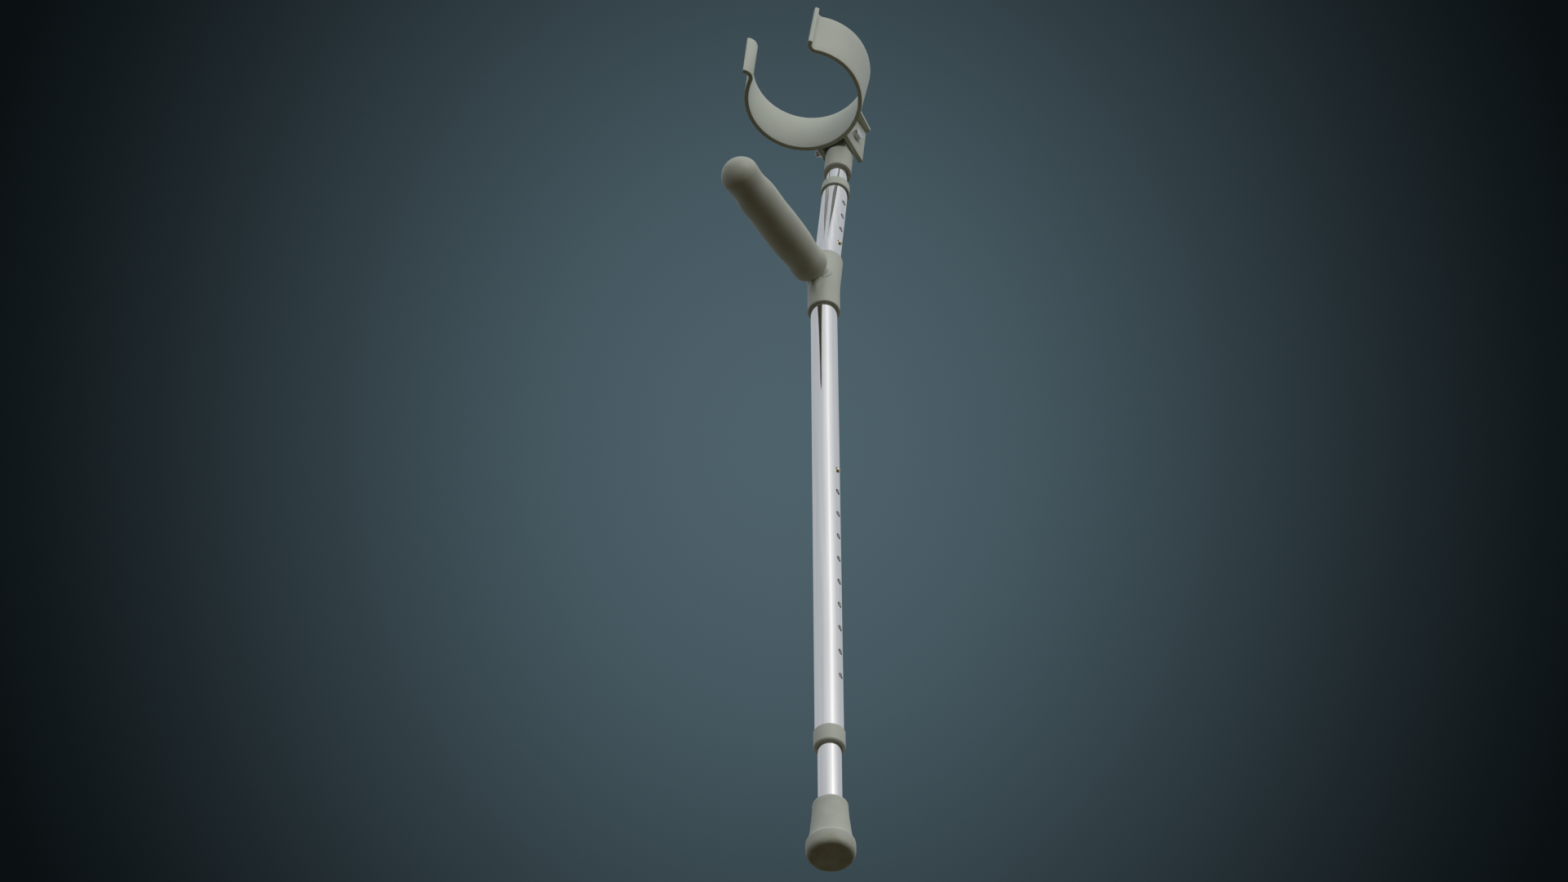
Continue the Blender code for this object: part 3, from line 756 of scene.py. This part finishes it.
fillet = UPPER_COLLAR_FILLET
taper = 0.4                   # the collar narrows by this before its fillet
up_profile = [(MAIN_R + GAP, UPPER_COLLAR_FOOT_S)]
up_profile += arc(
    (UPPER_COLLAR_R - 0.8, UPPER_COLLAR_FOOT_S + 0.8), 0.8, -90.0, 0.0, 7)
up_profile += arc(
    (UPPER_COLLAR_R - taper - fillet, UPPER_COLLAR_TOP_S - fillet), fillet,
    0.0, 90.0, 14)
up_profile += [
    (INNER_R + GAP, UPPER_COLLAR_TOP_S), (INNER_R + GAP, MAIN_TOP_S + GAP),
    (MAIN_R + GAP, MAIN_TOP_S + GAP)]
collar_top = mesh_object("collar_top", turned(up_profile), upper)
dress(collar_top, plastic, "frame", "plastic", "upper_collar")

# ------------------------------------------------------------ handle bracket
bracket = mesh_object("handle_bracket_body", bent_tube(
    main_path(SLEEVE_FOOT_Z, SLEEVE_TOP_S), SLEEVE_R, SLEEVE_BORE, 0.35))


def sleeve_skin(x):
    """Distance from the axis plane to the sleeve's skin, x to one side."""
    return math.sqrt(SLEEVE_R ** 2 - x ** 2)


def flared_arm(fillet=1.3):
    """Arm with a concave fillet that runs into the sleeve's skin."""
    steps = 10
    sides = 96
    rings = []
    for j in range(-1, steps + 1):
        turn = math.pi / 2.0 * (1.0 - max(j, 0) / steps)
        radius = ARM_R + fillet * (1.0 - math.cos(turn))
        sink = 0.06 if j >= 0 else 4.0
        rings.append([
            (x, y, sleeve_skin(x) + fillet * (1.0 - math.sin(turn)) - sink)
            for x, y, _ in circle(radius, 0.0, sides)])
    shoulder = GRIP_START + 0.4
    for radius, s in (
            (ARM_R, shoulder + 1.4), (SPIGOT_R, shoulder + 1.6),
            (SPIGOT_R, SPIGOT_END - 1.5), (SPIGOT_R - 0.5, SPIGOT_END - 0.4),
            (SPIGOT_R - 1.5, SPIGOT_END)):
        rings.append(circle(radius, s, sides))
    return skin(rings)


def gusset():
    """Soft keel under the arm, fading into the sleeve as it runs down."""
    steps = 18
    low_z = 605.0
    high_z = 627.0
    across = 12                   # points from the middle to one side
    rings = []
    for i in range(steps + 1):
        t = i / steps
        z = low_z + (high_z - low_z) * t
        half = 2.5 + 6.5 * t
        proud = 4.6 * t ** 1.9 + 0.05
        ring = []
        for k in range(2 * across + 1):
            x = half * (1.0 - k / across)
            swell = 0.5 + 0.5 * math.cos(math.pi * x / half)
            ring.append((x, -sleeve_skin(x) + 0.04 - proud * swell, z))
        for x in (-half, half):
            ring.append((x * 0.8, -sleeve_skin(x) + 1.2, z))
        rings.append(ring)
    return skin(rings)


def to_handle(bm):
    """Put a millimetre bmesh made along +Z into the handle's frame."""
    frame_mm = Matrix.Translation((0.0, 0.0, HANDLE_Z)) @ HANDLE_TURN
    bmesh.ops.transform(bm, matrix=frame_mm, verts=bm.verts[:])
    return bm


combine(bracket, [
    ("UNION", to_handle(flared_arm())),
    ("UNION", gusset()),
    ("DIFFERENCE",
     rod((0.0, 8.0, RIVET_Z), (0.0, 20.0, RIVET_Z), RIVET_R + GAP))])
dress(bracket, bracket_plastic, "frame", "plastic", "handle_bracket")

rivet_profile = [(0.0, 7.4), (3.4, 7.4), (3.4, 8.6), (RIVET_R, 9.1)]
rivet_profile += [(RIVET_R, SLEEVE_R + GAP), (4.3, SLEEVE_R + GAP)]
rivet_profile += spline([
    (4.4, SLEEVE_R + GAP + 0.25), (4.1, 14.75), (3.2, 15.35), (1.8, 15.7),
    (0.0, 15.8)], 5)
to_rear = Matrix.Translation((0.0, 0.0, RIVET_Z))
to_rear = to_rear @ Matrix.Rotation(-math.pi / 2.0, 4, "X")
rivet = mesh_object("rivet", turned(rivet_profile, PIN_ROUND, to_rear))
dress(rivet, zinc, "frame", "steel", "bracket_rivet")

# ---------------------------------------------------------------------- grip
GRIP_SKIN = [
    (13.3, 16.0), (14.8, 18.0), (15.5, 21.0), (15.9, 26.0), (15.6, 29.0),
    (15.25, 32.0), (15.35, 36.0), (15.75, 40.0), (16.35, 46.0), (16.75, 54.0),
    (16.8, 68.0), (16.7, 76.0), (16.5, 84.0), (16.65, 92.0), (16.9, 100.0),
    (16.7, 106.0), (16.1, 111.0), (15.4, 116.0), (15.3, 121.0), (15.75, 126.0),
    (16.05, 130.0), (15.8, 133.0), (14.65, 136.0), (13.0, 138.5), (10.6, 141.0),
    (7.2, 143.3), (3.6, 144.8), (0.0, GRIP_END)]
grip_profile = [(SPIGOT_R + GAP, GRIP_START), (11.8, GRIP_START)]
grip_profile += spline(GRIP_SKIN, 4)
grip_profile += [(0.0, SPIGOT_END + 1.0), (SPIGOT_R + GAP, SPIGOT_END + 1.0)]
grip = mesh_object("grip_body", turned(grip_profile), handle, 40.0)
dress(grip, grip_skin, "frame", "grip", "grip")

# ------------------------------------------------------------------- ferrule
foot = [(0.0, 0.0), (14.6, 0.0)]
foot += spline([
    (15.2, 0.1), (16.2, 0.6), (17.3, 1.7), (18.1, 3.4), (18.5, 5.8)], 4)
foot += spline([
    (18.5, 11.9), (18.4, 12.7), (18.0, 13.5), (17.4, 14.3), (17.0, 15.1),
    (16.8, 15.9)], 4)
foot += spline([
    (16.3, 18.0), (15.5, 23.0), (14.9, 29.0), (14.2, 35.0), (13.75, 41.0),
    (13.5, 46.0)], 4)
foot += arc((10.5, FERRULE_TOP_Z - 3.0), 3.0, 4.0, 90.0, 12)
foot += [
    (INNER_R + GAP, FERRULE_TOP_Z), (INNER_R + GAP, FERRULE_SEAT_Z),
    (0.0, FERRULE_SEAT_Z)]
ferrule = mesh_object("ferrule_body", turned(foot))
dress(ferrule, rubber, "leg", "ferrule", "ferrule")


# ------------------------------------------------------------------- buttons
def snap_button(name, frame_at, body, node):
    """Domed pin with its flange inside the inner tube."""
    tip = MAIN_R + BUTTON_OUT
    dome = 1.4
    profile = [
        (0.0, FLANGE_LOW), (FLANGE_R, FLANGE_LOW), (FLANGE_R, FLANGE_HIGH),
        (BUTTON_R, FLANGE_HIGH)]
    profile += arc((BUTTON_R - dome, tip - 1.5), dome, 0.0, 72.0, 12)
    profile += [(0.7, tip - 0.03), (0.0, tip)]
    button = mesh_object(name, turned(profile, PIN_ROUND, TO_X), frame_at, 40.0)
    return dress(button, brass, body, "brass", node)


snap_button(
    "button_leg", place((0.0, 0.0, LEG_TOP_HOLE_Z)), "leg_button_body",
    "leg_button")
snap_button(
    "button_cuff", place((0.0, 0.0, CUFF_LOW_HOLE_S), 0.0, upper),
    "cuff_button_body", "cuff_button")

# -------------------------------------------------------------------- socket
tube_top = PIVOT_S - CUFF_TUBE_TOP
crown = PIVOT_S + HEAD_R + 0.4
socket_profile = [(INNER_R + GAP, SOCKET_FOOT_S)]
socket_profile += arc(
    (SOCKET_R - 0.35, SOCKET_FOOT_S + 0.35), 0.35, -90.0, 0.0, 4)
socket_profile += arc((SOCKET_R - 2.0, crown - 2.0), 2.0, 0.0, 90.0, 8)
socket_profile += [
    (0.0, crown), (0.0, tube_top + GAP), (INNER_R + GAP, tube_top + GAP)]
off_grid = Matrix.Rotation(math.radians(1.1), 4, "Z")
socket = mesh_object("socket", turned(socket_profile, ROUND, off_grid), upper)
body_top = PIVOT_S - SOCKET_SHOULDER
wide = 20.0                   # cutters reach past the socket by this and deep
deep = 15.0
neck = []
for i in range(7):
    a = math.radians(15.0 * i)
    neck.append((
        NECK_HALF + NECK_FILLET - NECK_FILLET * math.sin(a),
        body_top + NECK_FILLET - NECK_FILLET * math.cos(a)))
keep = [(-wide, SOCKET_FOOT_S - 5.0), (wide, SOCKET_FOOT_S - 5.0)]
keep += [(wide, body_top)] + neck
keep += arc((0.0, PIVOT_S), HEAD_R, -14.0, 194.0, 43)
keep += [(-y, s) for y, s in reversed(neck)] + [(-wide, body_top)]
head_side = HEAD_HALF_X - PAD_STEP
socket_cuts = [("INTERSECT", prism(keep, -deep, deep, along_x))]
for side in (-1.0, 1.0):
    flank = [
        (side * head_side, body_top - 0.2), (side * wide, body_top - 8.0),
        (side * wide, crown + 5.0), (side * head_side, crown + 5.0)]
    socket_cuts.append(("DIFFERENCE", prism(flank, -deep, deep, along_y)))
pads = rod((-HEAD_HALF_X, 0.0, PIVOT_S), (HEAD_HALF_X, 0.0, PIVOT_S), PAD_R, 72)
pivot_bore = rod(
    (-deep, 0.0, PIVOT_S), (deep, 0.0, PIVOT_S), PIVOT_SLEEVE_R + GAP)
socket_cuts += [("UNION", pads), ("DIFFERENCE", pivot_bore)]
combine(socket, socket_cuts)
dress(socket, plastic, "cuff_stem", "plastic", "cuff_socket")


# ---------------------------------------------------------------------- cuff
def cuff_line():
    """Middle line of the band's wall at the lower rim, lip to lip."""
    mid = CUFF_R - CUFF_WALL / 2.0
    steps = 96
    half = []
    for i in range(steps + 1):
        a = math.pi / 2.0 - (math.pi - CUFF_OPEN) * i / steps
        depth = CUFF_FRONT if a < 0.0 else 1.0
        half.append(Vector((mid * math.cos(a), mid * depth * math.sin(a))))
    end = half[-1]
    way = (end - half[-2]).normalized()
    out = Vector((-way.y, way.x))
    lip_steps = 24
    for i in range(1, lip_steps + 1):
        a = LIP_TURN * i / lip_steps
        half.append(
            end + out * LIP_R * (1.0 - math.cos(a)) + way * LIP_R * math.sin(a))
    heading = way * math.cos(LIP_TURN) + out * math.sin(LIP_TURN)
    half.append(half[-1] + heading * (LIP_STRAIGHT - CUFF_EDGE))
    turn = Matrix.Rotation(CUFF_TURN, 2)
    mirrored = [Vector((-p.x, p.y)) for p in half[:0:-1]]
    return [turn @ p for p in mirrored + half]


def flared(plan, up):
    """Point of the band at a height; the band widens towards its top."""
    grow = 1.0 + (CUFF_FLARE - 1.0) * up / CUFF_H
    return (plan.x * grow, plan.y * grow, up)


def cuff_band():
    """Sweep the wall's rounded section from lip to lip, with the flare."""
    line = cuff_line()
    stations = []
    for i, point in enumerate(line):
        ahead = line[min(i + 1, len(line) - 1)] - line[max(i - 1, 0)]
        stations.append((point, ahead.normalized(), 0.0))
    for end, way in ((0, -1.0), (-1, 1.0)):
        point, ahead, _ = stations[end]
        for b in (30.0, 60.0, 90.0):
            turn = math.radians(b)
            extra = (
                point + ahead * way * CUFF_EDGE * math.sin(turn), ahead,
                CUFF_EDGE * (1.0 - math.cos(turn)))
            stations.insert(0 if end == 0 else len(stations), extra)
    rings = []
    for point, ahead, inset in stations:
        side = Vector((-ahead.y, ahead.x))
        reach = CUFF_WALL / 2.0 - inset
        low = inset
        high = CUFF_H - inset
        edge = CUFF_EDGE - inset * 0.5
        ring = []
        for across, w, start in (
                (reach, low, -90.0), (reach, high, 0.0),
                (-reach, high, 90.0), (-reach, low, 180.0)):
            centre_a = across - math.copysign(edge, across)
            centre_w = w + edge if w == low else w - edge
            for k in range(5):
                a = math.radians(start + 22.5 * k)
                off = centre_a + edge * math.cos(a)
                up = centre_w + edge * math.sin(a)
                ring.append(flared(point + side * off, up))
            if start in (-90.0, 90.0):
                for k in range(1, 6):
                    up = low + edge + (high - low - 2.0 * edge) * k / 6.0
                    if start == 90.0:
                        up = low + high - up
                    ring.append(flared(point + side * across, up))
        rings.append(ring)
    return skin(rings)


band = mesh_object("cuff_band", cuff_band(), cuff_frame)
band_parts = []
for side in (-1.0, 1.0):
    cheek = [
        (48.4, 0.2), (51.0, 0.0), (CHEEK_REAR, -CHEEK_DROP),
        (CHEEK_REAR - 2.4, CHEEK_TOP + 1.0), (50.2, CHEEK_TOP + 1.0)]
    band_parts.append(("UNION", prism(
        cheek, side * CHEEK_IN, side * CHEEK_OUT, along_x, 0.45)))
roof = []
for i in range(31):
    x = -ROOF_HALF_X + ROOF_HALF_X * i / 15.0
    roof.append((x, math.sqrt(ROOF_R ** 2 - x ** 2)))
roof += [(19.4, CHEEK_REAR - 2.0), (-19.4, CHEEK_REAR - 2.0)]
band_parts.append((
    "UNION", prism(roof, CHEEK_TOP - 0.8, CHEEK_TOP + 2.4, along_z)))
band_parts.append((
    "DIFFERENCE",
    rod((-20.0, PIVOT_V, PIVOT_W), (20.0, PIVOT_V, PIVOT_W), BOLT_R + GAP)))
combine(band, band_parts)
dress(band, plastic, "cuff", "plastic", "cuff_shell")


# ---------------------------------------------------------------- pivot bolt
def hexagon(radius, turn):
    """Corners of a hexagon in the (y, z) plane."""
    return [
        (radius * math.cos(math.tau * k / 6.0 + turn),
         radius * math.sin(math.tau * k / 6.0 + turn)) for k in range(6)]


def hex_block(name, low, high, turn, chamfer_low, chamfer_high):
    """Hexagon prism along X, and the cutter that turns its corners off."""
    block = mesh_object(
        name, prism(hexagon(HEX_R, turn), low, high, along_x), pivot)
    rim = HEX_R * math.cos(math.pi / 6.0) - 0.15
    clear = HEX_R + 1.0
    drop = 0.35
    profile = [
        (0.0, low), (rim if chamfer_low else clear, low),
        (HEX_R + 0.05, low + drop if chamfer_low else low + 0.01),
        (HEX_R + 0.05, high - drop if chamfer_high else high - 0.01),
        (rim if chamfer_high else clear, high), (0.0, high)]
    return block, turned(profile, PIN_ROUND, TO_X)


def threaded(low, high):
    """Screw thread along X, from low to high, with a chamfered tip at low."""
    steps = 60
    rings = []
    for j in range(steps + 1):
        x = low + (high - low) * j / steps
        limit = BOLT_R - 0.9 + (x - low) * 1.1
        ring = []
        for k in range(PIN_ROUND):
            a = math.tau * k / PIN_ROUND
            phase = (x / THREAD_PITCH - k / PIN_ROUND) % 1.0
            crest = 1.0 - abs(phase * 2.0 - 1.0)
            radius = BOLT_R - THREAD_DEPTH * (1.0 - min(crest * 1.4, 1.0))
            radius = min(radius, limit)
            ring.append((x, radius * math.cos(a), radius * math.sin(a)))
        rings.append(ring)
    return skin(rings)


head_x = CHEEK_OUT + GAP
bolt, head_turn = hex_block(
    "bolt", head_x, head_x + HEAD_HEIGHT, HEAD_TURN, False, True)
combine(bolt, [
    ("INTERSECT", head_turn),
    ("UNION", rod((-18.0, 0.0, 0.0), (head_x + 1.0, 0.0, 0.0), BOLT_R - 0.02)),
    ("UNION", threaded(BOLT_END_X, -17.5))])
dress(bolt, zinc, "cuff", "steel", "pivot_bolt")

washer_x = CHEEK_OUT + GAP
washer_end = washer_x + WASHER_HEIGHT
washer_bore = BOLT_R + GAP
to_left = Matrix.Rotation(-math.pi / 2.0, 4, "Y")
washer_profile = [
    (washer_bore, washer_x + 0.15), (washer_bore + 0.15, washer_x),
    (WASHER_R - 0.2, washer_x), (WASHER_R, washer_x + 0.2),
    (WASHER_R, washer_end - 0.2), (WASHER_R - 0.2, washer_end),
    (washer_bore + 0.15, washer_end), (washer_bore, washer_end - 0.15)]
washer = mesh_object("washer", turned(washer_profile, 64, to_left), pivot)
dress(washer, zinc, "cuff", "steel", "pivot_washer")

nut_start = -washer_end - GAP
nut, nut_turn = hex_block(
    "nut", nut_start - NUT_HEIGHT, nut_start, math.pi / 6.0, True, True)
combine(nut, [
    ("INTERSECT", nut_turn),
    ("DIFFERENCE",
     rod((nut_start - 8.0, 0.0, 0.0), (nut_start + 3.0, 0.0, 0.0), BOLT_R + GAP))])
dress(nut, zinc, "cuff", "steel", "pivot_nut")

# ---------------------------------------------- CAD nodes that stay as built
for name, finish in (
        ("leg_guide", nylon), ("cuff_guide", nylon),
        ("ferrule_washer", zinc), ("pivot_sleeve", zinc),
        ("leg_spring", spring_steel), ("cuff_spring", spring_steel)):
    nodes[name].data.materials.clear()
    nodes[name].data.materials.append(finish)

# -------------------------------------------------------------------- camera
look = Vector((
    -math.sin(CAMERA_AZIMUTH) * math.cos(CAMERA_ELEVATION),
    math.cos(CAMERA_AZIMUTH) * math.cos(CAMERA_ELEVATION),
    -math.sin(CAMERA_ELEVATION)))
level = look.cross(Vector((0.0, 0.0, 1.0))).normalized()
rise = level.cross(look)
right = level * math.cos(CAMERA_ROLL) + rise * math.sin(CAMERA_ROLL)
upward = rise * math.cos(CAMERA_ROLL) - level * math.sin(CAMERA_ROLL)
camera_data = bpy.data.cameras.new("camera")
camera_data.sensor_width = SENSOR
camera_data.lens = CAMERA_LENS
camera = bpy.data.objects.new("camera", camera_data)
bpy.context.scene.collection.objects.link(camera)
camera.matrix_world = Matrix((
    (right.x, upward.x, -look.x, CAMERA_AT[0]),
    (right.y, upward.y, -look.y, CAMERA_AT[1]),
    (right.z, upward.z, -look.z, CAMERA_AT[2]),
    (0.0, 0.0, 0.0, 1.0)))
bpy.context.scene.camera = camera

# --------------------------------------------------------------- studio light
world = bpy.data.worlds.new("studio")
bpy.context.scene.world = world
world.use_nodes = True
tree = world.node_tree
tree.nodes.clear()


def wnode(kind, **settings):
    made = tree.nodes.new(kind)
    for key, value in settings.items():
        setattr(made, key, value)
    return made


def wput(value, socket):
    """Set a socket to a fixed value, or link a node's output to it."""
    if isinstance(value, (float, tuple, Vector)):
        socket.default_value = value
    else:
        tree.links.new(value, socket)


def wvector(operation, a, b=None):
    """Vector maths; a and b are each a fixed vector or a node's output."""
    made = wnode("ShaderNodeVectorMath", operation=operation)
    wput(a, made.inputs[0])
    if b is not None:
        wput(b, made.inputs["Scale" if operation == "SCALE" else 1])
    scalar = operation == "DOT_PRODUCT"
    return made.outputs["Value" if scalar else "Vector"]


def wmath(operation, a, b=0.0):
    made = wnode("ShaderNodeMath", operation=operation)
    for socket, value in zip(made.inputs, (a, b)):
        wput(value, socket)
    return made.outputs["Value"]


def wlight(colour):
    """Background shader of one colour."""
    made = wnode("ShaderNodeBackground")
    tree.links.new(colour, made.inputs["Color"])
    return made.outputs["Background"]


def greys(*stops):
    """Ramp stops from (position, grey value) pairs."""
    return [(at, (value,) * 3) for at, value in stops]


def wramp(factor, stops, mode="LINEAR"):
    made = wnode("ShaderNodeValToRGB")
    made.color_ramp.interpolation = mode
    elements = made.color_ramp.elements
    while len(elements) < len(stops):
        elements.new(0.5)
    for element, (at, colour) in zip(elements, stops):
        element.position = at
        element.color = (*colour, 1.0)
    tree.links.new(factor, made.inputs["Fac"])
    return made.outputs["Color"]


direction = wnode("ShaderNodeTexCoord").outputs["Generated"]
split = wnode("ShaderNodeSeparateXYZ")
tree.links.new(direction, split.inputs["Vector"])
rise_part = split.outputs["Z"]
height = wmath("ADD", wmath("MULTIPLY", rise_part, 0.5), 0.5)
sky = wramp(height, [
    (0.0, (0.042, 0.035, 0.018)), (0.42, (0.042, 0.037, 0.022)),
    (0.54, (0.088, 0.100, 0.107)), (0.72, (0.240, 0.263, 0.280)),
    (0.84, (0.420, 0.450, 0.480)), (1.0, (0.430, 0.465, 0.500))])

# Key light: a soft box off to the right, inside a weaker glow
KEY_AZIMUTH = math.radians(58.6)
KEY_COLOUR = (1.0, 0.985, 0.94)
GLOW_LIGHT = 0.72
GLOW_SPREAD = 0.64            # radians of azimuth for a fall to 1/e
BOX_LIGHT = 2.05
BOX_SPREAD = 0.34
key_way = (math.sin(KEY_AZIMUTH), -math.cos(KEY_AZIMUTH), 0.0)
flat_way = wvector("NORMALIZE", wvector("MULTIPLY", direction, (1.0, 1.0, 0.0)))
turn_off = wmath("ARCCOSINE", wvector("DOT_PRODUCT", flat_way, key_way))
glow_side = wmath("EXPONENT", wmath("DIVIDE", turn_off, -GLOW_SPREAD))
glow_rise = wramp(rise_part, greys(
    (0.02, 0.0), (0.30, 1.0), (0.66, 1.0), (0.76, 0.62), (1.0, 0.15)))
glow = wmath("MULTIPLY", wmath("MULTIPLY", glow_side, glow_rise), GLOW_LIGHT)
box_side = wmath("EXPONENT", wmath("DIVIDE", turn_off, -BOX_SPREAD))
box_rise = wramp(
    rise_part, greys((0.05, 0.0), (0.30, 1.0), (0.58, 1.0), (0.67, 0.0)), "EASE")
box = wmath("MULTIPLY", wmath("MULTIPLY", box_rise, box_side), BOX_LIGHT)
key = wvector("SCALE", KEY_COLOUR, wmath("ADD", box, glow))

# Pale floor as the bright tubes mirror it
rays = wnode("ShaderNodeLightPath")
floor_glow = wramp(height, [
    (0.12, (0.0, 0.0, 0.0)), (0.25, (0.26, 0.27, 0.27)),
    (0.40, (0.40, 0.41, 0.41)), (0.49, (0.34, 0.35, 0.35)),
    (0.54, (0.0, 0.0, 0.0))])
mirrored = wvector("SCALE", floor_glow, rays.outputs["Is Glossy Ray"])
lit = wlight(wvector("ADD", wvector("ADD", sky, key), mirrored))

# Backdrop behind the object: a muted blue-grey pool of light, with one plain
# tone in every other direction
POOL_COLOUR = (0.0762, 0.1221, 0.1470)
POOL_FALL = -4.2417           # exponent of the bell at the pool's edge
POOL_EDGE = SENSOR / 2.0 / CAMERA_LENS * 1.25
POOL_SQUEEZE = 0.853          # of heights, so the pool is taller than wide
POOL_FLOOR = (0.0033, 0.0052, 0.0065)
SURROUND = (0.130, 0.185, 0.215, 1.0)
ahead_part = wvector("DOT_PRODUCT", direction, look)
across_part = wmath("DIVIDE", wvector("DOT_PRODUCT", direction, right), ahead_part)
up_part = wmath("DIVIDE", wvector("DOT_PRODUCT", direction, upward), ahead_part)
up_part = wmath("MULTIPLY", up_part, POOL_SQUEEZE)
spread = wmath("SQRT", wmath(
    "ADD", wmath("MULTIPLY", across_part, across_part),
    wmath("MULTIPLY", up_part, up_part)))
off = wmath("DIVIDE", spread, POOL_EDGE)
bell = wmath("EXPONENT", wmath("MULTIPLY", wmath("MULTIPLY", off, off), POOL_FALL))
pool = wvector("MAXIMUM", wvector("SCALE", POOL_COLOUR, bell), POOL_FLOOR)
near = wnode("ShaderNodeMapRange", interpolation_type="SMOOTHSTEP")
near.inputs["From Min"].default_value = math.cos(math.radians(30.0))
near.inputs["From Max"].default_value = math.cos(math.radians(17.0))
tree.links.new(ahead_part, near.inputs["Value"])
backdrop = wnode("ShaderNodeMix", data_type="RGBA")
tree.links.new(near.outputs["Result"], backdrop.inputs["Factor"])
backdrop_in = [s for s in backdrop.inputs if s.type == "RGBA"]
backdrop_out = [s for s in backdrop.outputs if s.type == "RGBA"]
backdrop_in[0].default_value = SURROUND
tree.links.new(pool, backdrop_in[1])
choose = wnode("ShaderNodeMixShader")
tree.links.new(rays.outputs["Is Camera Ray"], choose.inputs[0])
tree.links.new(lit, choose.inputs[1])
tree.links.new(wlight(backdrop_out[0]), choose.inputs[2])
out = wnode("ShaderNodeOutputWorld")
tree.links.new(choose.outputs["Shader"], out.inputs["Surface"])
bpy.context.scene.view_settings.view_transform = "Standard"

# --------------------------------------------------------------------- floor
FLOOR_HALF = 9.0              # metres
FLOOR_Z = -0.226              # metres; below the leg at its longest setting
FLOOR_DARK = (0.60, 0.61, 0.61)
FLOOR_LIGHT = (0.66, 0.67, 0.67)
FLOOR_FADE = (1.5, 6.5)       # metres from the middle, full to gone
floor_bm = bmesh.new()
bmesh.ops.create_grid(
    floor_bm, x_segments=2, y_segments=2, size=FLOOR_HALF / MM)
floor = mesh_object("floor", floor_bm)
floor.location.z = FLOOR_Z
fin = Finish("pale_floor", 0.6)
mottle = fin.noise(60.0, (1.0, 1.0, 1.0), 3.0, 3.0)
fin.colour(fin.mix(mottle, FLOOR_DARK, FLOOR_LIGHT))
fin.bump(fin.noise(3.0, (1.0, 1.0, 1.0), 2.0), 0.05, 0.3)
reach = fin.node("ShaderNodeVectorMath", operation="LENGTH")
fin.link(fin.coords, reach.inputs[0])
gone = fin.span(reach.outputs["Value"], *FLOOR_FADE, 0.0, 1.0)
back = fin.node("ShaderNodeNewGeometry").outputs["Backfacing"]
clear = fin.math("MAXIMUM", gone, back)
see_through = fin.node("ShaderNodeBsdfTransparent")
choice = fin.node("ShaderNodeMixShader")
fin.link(clear, choice.inputs[0])
fin.link(fin.shader.outputs["BSDF"], choice.inputs[1])
fin.link(see_through.outputs["BSDF"], choice.inputs[2])
surface = fin.tree.nodes["Material Output"].inputs["Surface"]
fin.link(choice.outputs["Shader"], surface)
floor.data.materials.append(fin.mat)
floor.visible_diffuse = False
floor.visible_glossy = False
floor.visible_shadow = False
